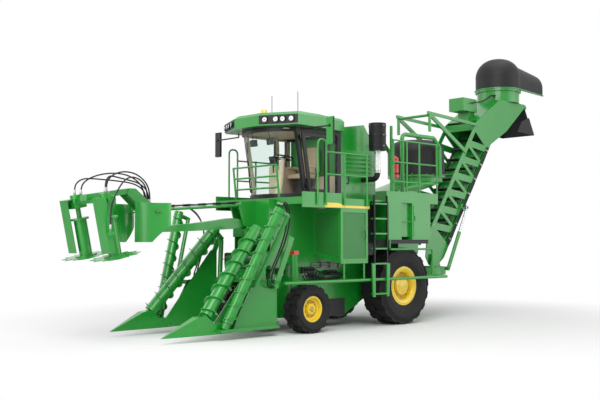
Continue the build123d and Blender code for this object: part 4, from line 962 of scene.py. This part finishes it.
@dataclass
class Lamps:
    """Round work lamps on the roof's corner faces, the beacon's cap and the aerials' bases.

    Attributes:
        bench: Where pieces are made.
        ends: Plan points of the left corner face.
        shares: Where the lamps stand along it.
        height: Height of their middles.
        roof: Height of the roof's top.
    """

    bench: Bench
    ends: tuple[tuple[float, float], tuple[float, float]] = ((3.200, 0.360), (2.860, 1.050))
    shares: tuple[float, ...] = (0.16, 0.44, 0.62, 0.84)
    height: float = 3.902
    roof: float = 4.085

    def build(self) -> None:
        """Make a domed lens, a bezel and a cap for each lamp: profiles turned about the face's normal."""
        (x0, y0), (x1, y1) = self.ends
        normal = np.array((y1 - y0, x0 - x1, 0.0))
        normal /= np.linalg.norm(normal)
        share = np.array(self.shares)[:, None]
        seats = row(np.array((x0, y0, self.height)) + share * np.array((x1 - x0, y1 - y0,
                                                                        0.0)) + normal * 0.034)
        lens = lathe([(0.0, 0.012), (0.020, 0.011), (0.038, 0.007), (0.047, 0.001), (0.0, 0.0005)], 28)
        bezel = lathe([(0.046, 0.001), (0.048, 0.010), (0.056, 0.011), (0.059, 0.004), (0.059, -0.004),
                       (0.046, 0.001)], 28)
        cap = lathe([(0.0, 0.0135), (0.010, 0.0130), (0.012, 0.0112), (0.0, 0.0105)], 16)
        self.bench.pairs(("roof_lenses", lens.repeated(seats, normal), LENS),
                         ("roof_bezels", bezel.repeated(seats, normal), BLACK),
                         ("roof_lamp_caps", cap.repeated(seats, normal), DARK_TRIM))
        beacon = lathe([(0.0, 0.104), (0.030, 0.101), (0.054, 0.090), (0.0635, 0.070), (0.0635, 0.004),
                        (0.070, 0.0),
                        (0.0, 0.0)], 36)
        self.bench.piece("beacon_cap", beacon.at((2.760, 0.0, self.roof)), AMBER)
        base = lathe([(0.0, 0.055), (0.009, 0.053), (0.014, 0.030), (0.022, 0.006), (0.022, 0.0),
                      (0.0, 0.0)], 20)
        self.bench.piece("aerial_bases", base.repeated(spots(2.2, (-0.4, 0.35), self.roof), UP), BLACK)


@dataclass
class CabInside:
    """Seat, steering wheel, console and linings, which stand for the plain operator's place."""

    bench: Bench
    station: str = "operator_station"

    def padding(self, name: str, shape: Shape) -> None:
        """Make a padded piece of the seat."""
        piece = self.bench.piece(name, shape, FABRIC, crease=60.0, stands_for=self.station)

    def seat(self) -> None:
        """Make the padded squab and back, the arm rests on their posts, and the pedestal."""
        squab = cushion((0.240, 0.250, 0.050), 0.018, 0.014, (-0.45, 0.05, 0.5)).at((1.740, 0.0, 2.945))
        self.padding("seat_squab", squab)
        back = cushion((0.275, 0.240, 0.055), 0.016, 0.014, (-0.4, 0.1, 0.55))
        back = back.turned(((0.06, 0, 1), (0, 1, 0), (1, 0, -0.06))).at((1.535, 0.0, 3.275))
        self.padding("seat_back", back)
        sides = (-0.275, 0.275)
        posts = [pipe(((1.62, y * 0.86, 2.93), (1.62, y, 2.99), (1.66, y, 3.115)), 16, 0.013) for y in sides]
        self.bench.piece("seat_arm_posts", joined(*posts), DARK_TRIM)
        arms = [cushion((0.150, 0.032, 0.026), 0.006, 0.004).at((1.720, y, 3.130)) for y in sides]
        self.padding("seat_arms", joined(*arms))
        levels = ((0, CAB_FLOOR), (0.6, 2.600), (1, 2.680), (1, 2.780), (0.6, 2.860), (0, 2.896))
        rings = [(outline(0.17 - 0.03 * bend, 0.18 - 0.03 * bend, 0.03), z) for bend, z in levels]
        rings = np.array([spots(1.730 + ring[:, 0], ring[:, 1], z) for ring, z in rings])
        self.bench.piece("seat_pedestal", loft(rings), DARK_TRIM, stands_for=self.station)

    def controls(self) -> None:
        """Make the leaning column, the steering wheel, the console, the screen and the lever."""
        foot, head = np.array((2.400, 0.0, CAB_FLOOR)), np.array((2.262, 0.0, 3.285))
        lean = head - foot
        share = np.linspace(0, 1, 10)
        column = tube(row(foot + lean * share[:, None]), 0.075 - 0.032 * share, 20)
        self.bench.piece("steering_column", column, PAINTED_LIGHT_TRIM, stands_for=self.station)
        hub = lathe([(0.0, 0.012), (0.045, 0.010), (0.055, 0.0), (0.045, -0.02), (0.0, -0.02)], 24)
        spoke = slab((0.075, 0.013, 0.006), 0.006, 0.003).moved((0.115, 0.0, 0.0))
        spokes = [spoke.turned(((np.cos(a), np.sin(a), 0), (-np.sin(a), np.cos(a), 0), (0, 0, 1)))
                  for a in (0.6, 2.54, 4.71)]
        wheel = joined(hoop(0.188, 0.015), hub,
                       *spokes).stood(lean).at(head + lean / np.linalg.norm(lean) * 0.010)
        self.bench.piece("steering_wheel", wheel, BLACK, stands_for=self.station)
        console = slab((0.110, 0.295, 0.300), 0.040, 0.016).turned(((0, 1, 0), (1, 0, 0), (0, 0, 1)))
        self.bench.piece("side_console", console.at((1.900, -0.410, 2.860)), PAINTED_LIGHT_TRIM, stands_for=self.station)
        screen = slab((0.105, 0.075, 0.014), 0.012, 0.005).turned(((0, 1, 0), (0.3, 0, 1), (-1, 0, 0.3)))
        stalk = pipe(((2.19, -0.36, 3.02), (2.21, -0.35, 3.12), (2.235, -0.335, 3.22)), 12, 0.014)
        self.bench.piece("cab_screen", joined(screen.at((2.230, -0.330, 3.270)), stalk), DARK_TRIM)
        lever = pipe(((2.05, -0.40, 3.15), (2.06, -0.40, 3.22), (2.08, -0.39, 3.28)), 10, 0.010)
        knob = cushion((0.022, 0.022, 0.035), 0.004, 0.0).at((2.085, -0.388, 3.300))
        self.bench.piece("drive_lever", joined(lever, knob), DARK_TRIM)

    def linings(self) -> None:
        """Make the head lining, the sun blinds on their stems and the floor mat."""
        lining = slab((0.640, 0.684, 0.008), 0.060, 0.004).at((2.175, 0.0, 3.765))
        self.bench.piece("head_lining", lining, PAINTED_LIGHT_TRIM)
        sides = (-0.30, 0.18)
        blind = slab((0.105, 0.065, 0.006), 0.012, 0.003).turned(((0, 1, 0), (0.17, 0, 1), (-1, 0, 0.17)))
        self.bench.piece("sun_blinds", joined(*[blind.at((2.760, y, 3.560)) for y in sides]), DARK_TRIM)
        stems = [tube(row(((2.775, y, 3.61), (2.790, y, 3.68), (2.80, y, 3.735))), 0.007) for y in sides]
        self.bench.piece("blind_stems", joined(*stems), DARK_TRIM)
        mat = slab((0.500, 0.560, 0.006), 0.050, 0.003).at((2.020, 0.0, 2.567))
        self.bench.piece("floor_mat", mat, DARK_TRIM)

    def build(self) -> None:
        """Make everything inside the cab."""
        self.seat()
        self.controls()
        self.linings()


@dataclass
class CabOutside:
    """Wiper, door handle and mirror housings on the cab."""

    bench: Bench

    def on_screen(self, y: float | Array, z: float | Array, stand: float) -> Array:
        """Points off the windscreen: an arc of 0.812 m about x = 1.988, leaning 0.1774 with height."""
        y, z = np.asarray(y), np.asarray(z)
        return spots(1.988 + np.sqrt(0.812 ** 2 - y ** 2) + 0.1774 * (z - CAB_FLOOR) + stand, y, z)

    def wiper(self) -> None:
        """Make the arm 30 mm and the blade 16 mm off the glass, as tubes that follow its surface."""
        share = np.linspace(0, 1, 24)
        foot = (-0.50, 2.640)
        arm = tube(self.on_screen(foot[0] + 0.16 * share, foot[1] + 0.560 * share, 0.030),
                   0.010 - 0.004 * share)
        blade = tube(self.on_screen(-0.40 + 0.10 * share, 2.860 + 0.700 * share, 0.016), 0.008)
        hub = lathe([(0.0, 0.030), (0.022, 0.026), (0.028, 0.0), (0.0, 0.0)], 18).stood((0.9, -0.5, -0.1))
        self.bench.piece("screen_wiper", joined(arm, blade, hub.moved(self.on_screen(*foot, 0.002)[0])),
                         BLACK)

    def build(self) -> None:
        """Make the wiper, the door's handle and lock, and a housing with a ball for each mirror."""
        self.wiper()
        handle = pull((1.872, 0.795, 2.98), 0.24, 0.02, (0.041, 0.047), 30, 0.010)
        lock = lathe([(0.0, 0.018), (0.018, 0.016), (0.022, 0.0), (0.0, 0.0)],
                     18).stood(OUT).at((1.872, 0.795, 2.92))
        self.bench.piece("door_handle", joined(handle, lock), BLACK, "door")
        frame = slab((0.084, 0.254, 0.014), 0.030, 0.008).turned(((0, 1, 0), (0, 0, 1), (1, 0, 0)))
        ball = lathe([(0.0, 0.034), (0.022, 0.027), (0.034, 0.0), (0.022, -0.027), (0.0, -0.034)], 20)
        housing = joined(frame.at((2.582, 1.610, 3.650)), ball.at((2.604, 1.610, 3.742)))
        self.bench.pairs(("mirror_housing", housing, BLACK))


@dataclass
class EngineBay:
    """Fittings on the engine housing, the coolers, the fascia, the exhaust and the extinguisher."""

    bench: Bench

    def coolers(self) -> None:
        """Make bolt heads round the cooler screens and a handle on each one."""
        level, upright = np.linspace(1.23, 1.92, 6), np.linspace(1.45, 2.10, 5)
        x = np.concatenate([level, level, np.full(5, 1.23), np.full(5, 1.92)])
        z = np.concatenate([np.full(6, 2.245), np.full(6, 1.300), upright, upright])
        bolts = hex_head(0.014, 0.008).repeated(spots(x, 1.25, z), OUT)
        handle = pull((1.30, 1.25, 1.72), 0.14, 0.01, (0.026, 0.030), 24, 0.007)
        self.bench.pairs(("cooler_bolts", bolts, GREEN), ("cooler_pull", handle, BLACK))

    def stripe(self) -> None:
        """Make the yellow fascia stripe: a strip 4 mm thick whose height falls smoothly to the rear.

        It is 0.086 m at the front and 0.044 m at the rear, by 0.044 + 0.042 / (1 + exp(40 (s - 0.36))).
        """
        share = np.linspace(0, 1, 60)
        half = (0.044 + 0.042 / (1 + np.exp(40 * (share - 0.36)))) / 2
        corners = ((1.249, -1), (1.253, -1), (1.253, 1), (1.249, 1))
        ring = [spots(2.375 - 1.225 * share, depth, 2.292 + half + sign * half) for depth, sign in corners]
        self.bench.pairs(("fascia_stripe", loft(np.stack(ring, axis=1)), YELLOW))

    def exhaust(self) -> None:
        """Make the silencer's clamp bands with their screws, and the pipe's joint rings."""
        x, y = SILENCER
        heights = (3.545, 3.760, 3.945)
        bands = [band(0.1705, 0.1755, 0.022, 48).at((x, y, z)) for z in heights]
        self.bench.piece("silencer_bands", joined(*bands), BLACK)
        rings = [band(0.054, 0.062, 0.018, 32).at((x, y, z)) for z in (3.060, 3.420)]
        self.bench.piece("exhaust_rings", joined(*rings), ZINC)
        screws = [hex_head(0.012, 0.030).stood((1, 0, 0)).at((x, 1.276, z)) for z in heights]
        self.bench.piece("silencer_screws", joined(*screws), ZINC)

    def housing(self) -> None:
        """Make two rows of rivets and a C handle on each side of the engine housing."""
        rows = ((0.385, np.linspace(2.56, 3.90, 12)), (1.365, np.linspace(2.56, 3.46, 12)))
        places = np.concatenate([spots(x, 0.700, z) for x, z in rows])
        handle = pull((1.20, 0.700, 2.80), 0.16, 0.01, (0.042, 0.050), 26, 0.011)
        self.bench.pairs(("housing_rivets", rivet().repeated(places, OUT), DARK_GREEN),
                         ("housing_handle", handle, BLACK))

    def safety(self) -> None:
        """Make the extinguisher's shoulder, valve, hose and straps."""
        place = np.array((*EXTINGUISHER, 0.0))
        neck = lathe([(0.074, 3.338), (0.066, 3.352), (0.040, 3.372), (0.018, 3.380), (0.018, 3.405),
                      (0.0, 3.405)], 24)
        self.bench.piece("extinguisher_shoulder", neck.at(place), RED)
        valve = joined(slab((0.020, 0.016, 0.016), 0.006, 0.003).moved((0.0, 0.0, 3.418)),
                       slab((0.050, 0.008, 0.004), 0.004, 0.002).moved((0.030, 0.0, 3.440)),
                       slab((0.045, 0.008, 0.004), 0.004, 0.002).moved((0.028, 0.0, 3.412)))
        self.bench.piece("extinguisher_valve", valve.at(place), BLACK)
        line = curve(((0.0, 0.020, 3.418), (-0.04, 0.062, 3.400), (-0.06, 0.084, 3.320),
                      (-0.05, 0.088, 3.200),
                      (-0.045, 0.086, 3.080), (-0.045, 0.084, 3.000)), 40)
        self.bench.piece("extinguisher_hose", tube(row(line + place), 0.009), HOSE)
        straps = [band(0.0755, 0.0785, 0.015, 32).at(place + (0.0, 0.0, z)) for z in (3.03, 3.24)]
        self.bench.piece("extinguisher_straps", joined(*straps), BLACK)

    def build(self) -> None:
        """Make the fittings round the engine."""
        self.coolers()
        self.stripe()
        self.exhaust()
        self.housing()
        self.safety()


@dataclass
class Hoods:
    """Bolt circles on the flanges of the two extractor hoods."""

    bench: Bench

    def build(self) -> None:
        """Make 24 bolts on each flange, standing up on the lower one and hanging under the upper one."""
        angle = circle(24)
        unit = np.stack([np.cos(angle), np.sin(angle), 0 * angle], axis=-1)
        main = hex_head(0.018, 0.011).repeated(row(unit * 0.633 + (-1.85, 0.0, 3.150)), UP)
        self.bench.piece("main_hood_bolts", main, ZINC, "main_hood")
        upper = hex_head(0.016, 0.010).repeated(row(unit * 0.553 + (-5.17, 0.0, 5.430)), -UP)
        self.bench.piece("upper_hood_bolts", upper, ZINC, "elevator")


@dataclass
class ElevatorDress:
    """Bolts and clipped hose runs along the elevator.

    Attributes:
        bench: Where pieces are made.
        lower: Ends of a side plate's lower edge as x and z.
        upper: Ends of its upper edge.
        plate: Outer face of a side plate.
        stand: How far the hoses' middles stand off it.
    """

    bench: Bench
    lower: tuple[tuple[float, float], ...] = ((-2.25, 1.30), (-4.16, 4.02))
    upper: tuple[tuple[float, float], ...] = ((-1.65, 1.78), (-3.57, 4.52))
    plate: float = 0.45
    stand: float = 0.016

    def along(self, edge: Sequence[tuple[float, float]], shares: Array, inset: float) -> Array:
        """Points a share of the way along an edge, moved in from it.

        Args:
            edge: Its two ends.
            shares: Shares of the way from the first to the second.
            inset: Distance from the edge, to its left when looking along it.

        Returns:
            A row of x and a row of z.
        """
        start, end = np.array(edge)
        run = (end - start) / np.linalg.norm(end - start)
        return (start + (end - start) * shares[:, None] + inset * np.array((-run[1], run[0]))).T

    def build(self) -> None:
        """Make a bolt row on each side plate and three clipped hoses along its lower edge."""
        x, z = self.along(self.upper, np.linspace(0.04, 0.97, 16), 0.045)
        heads = hex_head(0.017, 0.010).repeated(spots(x, self.plate, z), OUT)
        lines = []
        for number, inset in enumerate((-0.032, -0.060, -0.088)):
            x, z = self.along(self.lower, np.linspace(0.10, 0.95, 40), inset)
            wave = 0.004 * np.sin(np.linspace(0, 24, 40) + number)
            lines.append(tube(spots(x, self.plate + self.stand + wave, z), 0.0125))
        run = np.array(self.lower[1]) - np.array(self.lower[0])
        run = run / np.linalg.norm(run)
        clip = slab((0.046, 0.014, 0.018), 0.006, 0.003)
        clip = clip.turned(((-run[1], 0, run[0]), (run[0], 0, run[1]), (0, 1, 0)))
        places = self.along(self.lower, np.linspace(0.14, 0.92, 7), -0.060).T
        clips = [clip.at((x, self.plate + self.stand, z)) for x, z in places]
        self.bench.pairs(("elevator_bolts", heads, ZINC), ("elevator_pipes", joined(*lines), HOSE),
                         ("elevator_clips", joined(*clips), ZINC), body="elevator")


@dataclass
class FrontDress:
    """Rivets on the dividers and the valve bank beside the throat."""

    bench: Bench

    def rivets(self) -> None:
        """Make rivet heads along the edges of each divider's side panel."""
        corners = np.array(((4.24, 0.22), (3.82, 0.88), (3.33, 0.93), (3.33, 0.22)))
        share = np.linspace(0, 1, 6, endpoint=False)[:, None]
        x, z = np.concatenate([a + (b - a) * share for a, b in zip(corners, np.roll(corners, -1, axis=0))]).T
        heads = rivet().repeated(spots(x, 0.958, z), OUT)
        self.bench.pairs(("divider_rivets", heads, GREEN), body="crop_divider_")

    def valves(self) -> None:
        """Make the two valve blocks with their coils, unions and looped hoses on the throat's wall."""
        blocks = [slab((0.150, 0.040, 0.060), 0.008, 0.004).at((2.150, 0.558, 1.120)),
                  slab((0.100, 0.040, 0.055), 0.008, 0.004).at((2.840, 0.558, 1.120))]
        coil = joined(button([(0.010, 0.062), (0.010, 0.050), (0.022, 0.048), (0.022, 0.006)], 18),
                      button([(0.026, 0.010), (0.026, 0.0)], 6))
        x = np.array((2.040, 2.115, 2.190, 2.265, 2.790, 2.880))
        union = button([(0.013, 0.034), (0.013, 0.014), (0.018, 0.014), (0.018, 0.0)], 6)
        hoses = [pipe(((px, 0.562, 1.035), (px - 0.02, 0.570, 0.960), (px - 0.10, 0.580, 0.915),
                       (px - 0.24, 0.580, 0.930), (px - 0.34, 0.565, 1.010), (px - 0.37, 0.540, 1.090)),
                       36, 0.011)
                 for px in x[:4]]
        self.bench.pairs(("valve_blocks", joined(*blocks), IRON),
                         ("valve_coils", coil.repeated(spots(x, 0.596, 1.130), OUT), BLACK),
                         ("valve_unions", union.repeated(spots(x, 0.562, 1.064), -UP), ZINC),
                         ("valve_hoses", joined(*hoses), HOSE))

    def build(self) -> None:
        """Make the front's fittings."""
        self.rivets()
        self.valves()


@dataclass
class Plumbing:
    """Pipes, a rear valve block and draped hoses along the throat's side, and the upper fan's hoses."""

    bench: Bench

    def side_runs(self) -> None:
        """Make straight pipes with clamps and hoses that sag between their ends by a parabola."""
        share = np.linspace(0, 1, 40)
        pipes = [tube(spots(1.22 + 0.80 * share, 0.545 + 0.004 * k, 1.185 + 0.030 * k),
                      0.011) for k in range(3)]
        block = slab((0.150, 0.036, 0.050), 0.008, 0.004).at((1.520, 0.556, 1.060))
        clamps = [slab((0.012, 0.024, 0.055), 0.004, 0.002).at((x, 0.543, 1.215)) for x in (1.30, 1.55, 1.80)]
        coil = button([(0.010, 0.056), (0.010, 0.044), (0.021, 0.042), (0.021, 0.0)], 18)
        coils = coil.repeated(spots((1.410, 1.485, 1.560, 1.635), 0.590, 1.066), OUT)
        hoses = []
        for k, (front, drop) in enumerate(((2.06, 0.10), (2.12, 0.14), (2.20, 0.12), (2.26, 0.17),
                                           (1.99, 0.08))):
            sag = drop * 4 * share * (1 - share)
            hoses.append(tube(spots(1.14 + (front - 1.14) * share, 0.600 + 0.020 * np.sin(3 * share + k),
                                    1.010 + 0.018 * k + 0.05 * share - sag), 0.012))
        self.bench.pairs(("side_pipes", joined(*pipes), ZINC), ("rear_valve_block", joined(block, *clamps),
                                                                IRON),
                         ("rear_valve_coils", coils, BLACK), ("side_hoses", joined(*hoses), HOSE))

    def build(self) -> None:
        """Make the side runs, the hoses from the motor box to the upper fan's ring, and the box's lid."""
        self.side_runs()
        hoses = [pipe(((-3.70, 0.205 + 0.035 * k, 5.00), (-3.78, 0.262 + 0.035 * k, 5.02),
                       (-3.98, 0.300 + 0.030 * k, 5.06), (-4.22, 0.300 + 0.022 * k, 5.16),
                       (-4.48, 0.240 + 0.022 * k, 5.27), (-4.70, 0.170 + 0.030 * k, 5.30)), 50, 0.015)
                 for k in range(3)]
        self.bench.piece("upper_fan_hoses", joined(*hoses), HOSE, "elevator")
        lid = slab((0.200, 0.150, 0.006), 0.030, 0.003).at((-3.655, 0.0, 5.114))
        self.bench.piece("motor_box_lid", lid, GREEN, "elevator")


@dataclass
class Studio:
    """Floor, lamps, backdrop and camera.

    Attributes:
        place: Where the photograph was taken from.
        aim: Yaw from -Y towards -X, and pitch, of the photograph's view, in degrees.
        middle: Where the lamps look.
        lamps: Name, place, size and power of each lamp.
    """

    place: tuple[float, float, float] = (13.685 + AXLE, 12.446, 1.650)
    aim: tuple[float, float] = (43.657, 2.776)
    middle: tuple[float, float, float] = (0.5, 0.0, 1.8)
    lamps: tuple[tuple[str, tuple[float, float, float], float, float], ...] = (
        ("key", (10.0, 9.0, 12.0), 9.0, 1500.0),
        ("fill", (8.0, -14.0, 9.0), 10.0, 420.0),
        ("top", (-2.0, 2.0, 16.0), 12.0, 900.0),
        ("side", (-11.0, 13.0, 5.0), 12.0, 650.0),
        ("front", (15.0, 3.0, 3.0), 7.0, 520.0),
    )

    def put(self, name: str, data: bpy.types.ID, place: Point,
            look: Vector | None = None) -> bpy.types.Object:
        """Put something on the stage at a place, looking along a direction."""
        holder = bpy.data.objects.new(name, data)
        holder.location = place
        if look is not None:
            holder.rotation_euler = look.to_track_quat("-Z", "Y").to_euler()
        bpy.context.scene.collection.objects.link(holder)
        return holder

    def camera(self) -> None:
        """Put the camera where the photograph was taken from."""
        view = bpy.data.cameras.new("photo_view")
        view.lens, view.sensor_width, view.clip_end = 52.19, 36.0, 200.0
        yaw, pitch = (math.radians(angle) for angle in self.aim)
        look = Vector((-math.sin(yaw) * math.cos(pitch), -math.cos(yaw) * math.cos(pitch), math.sin(pitch)))
        bpy.context.scene.camera = self.put("photo_view", view, self.place, look)

    def floor(self) -> None:
        """Lay a pale floor that turns into the white backdrop with distance from the machine."""
        mesh = bpy.data.meshes.new("floor")
        reach = 60.0
        corners = [(-reach, -reach, 0), (reach, -reach, 0), (reach, reach, 0), (-reach, reach, 0)]
        mesh.from_pydata(corners, [], [(0, 1, 2, 3)])
        paint, tree, shader = fresh("floor_paint")
        feed(tree, shader, {"Base Color": (0.80, 0.80, 0.80, 1.0), "Roughness": 0.9,
                            "Specular IOR Level": 0.1})
        pale = shader.outputs["BSDF"]
        spot = add(tree, "NewGeometry").outputs["Position"]
        length = add(tree, "VectorMath", {0: spot}, operation="LENGTH").outputs["Value"]
        fade = add(tree, "MapRange", {"Value": length, "From Min": 3.0, "From Max": 9.0},
                   interpolation_type="SMOOTHSTEP").outputs["Result"]
        faded = blended(tree, fade, pale, add(tree, "Emission").outputs["Emission"])
        surface = blended(tree, add(tree, "LightPath").outputs["Is Camera Ray"], pale, faded)
        feed(tree, tree.nodes["Material Output"], {"Surface": surface})
        mesh.materials.append(paint)
        self.put("floor", mesh, (0.0, 0.0, 0.0))

    def backdrop(self) -> None:
        """Make the world white to the eye and softer as a light."""
        world = bpy.data.worlds.new("studio")
        world.use_nodes = True
        tree = world.node_tree
        soft = tree.nodes["Background"]
        feed(tree, soft, {"Color": WHITE, "Strength": 0.36})
        white = add(tree, "Background", {"Color": WHITE, "Strength": 1.0})
        rays = add(tree, "LightPath").outputs
        seen = Term(tree, rays["Is Camera Ray"]).by("MAXIMUM", rays["Is Glossy Ray"])
        seen = seen.by("MAXIMUM", rays["Is Transmission Ray"])
        sky = blended(tree, seen.socket, soft.outputs["Background"], white.outputs["Background"])
        feed(tree, tree.nodes["World Output"], {"Surface": sky})
        bpy.context.scene.world = world

    def build(self) -> None:
        """Set the stage; the lamps are square and look at the machine's middle."""
        bpy.context.scene.view_settings.view_transform = "Standard"
        self.camera()
        self.floor()
        self.backdrop()
        for name, place, size, power in self.lamps:
            light = bpy.data.lights.new(name, "AREA")
            light.size, light.energy = size, power
            self.put(name, light, place, Vector(self.middle) - Vector(place))


def write_sizes() -> None:
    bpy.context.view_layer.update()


def main() -> None:
    """Build the scene: stage, cords, dressed nodes, then every sub-assembly."""
    logging.basicConfig(level=logging.INFO, format="%(message)s", stream=sys.stdout)
    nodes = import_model()["nodes"]
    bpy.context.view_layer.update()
    shop = PaintShop()
    bench = Bench(shop)
    Studio().build()
    TopperHoses(bench).build()
    CadDressing(shop, nodes).dress()
    for kit in (BoomHoses, ScrollHoses, Wheels, Lamps, CabInside, CabOutside, EngineBay, Hoods, ElevatorDress,
                FrontDress, Plumbing):
        kit(bench).build()
    write_sizes()
    LOG.info("%d nodes dressed, %d pieces added", len(nodes), len(bench.made))


if __name__ == "__main__":
    main()
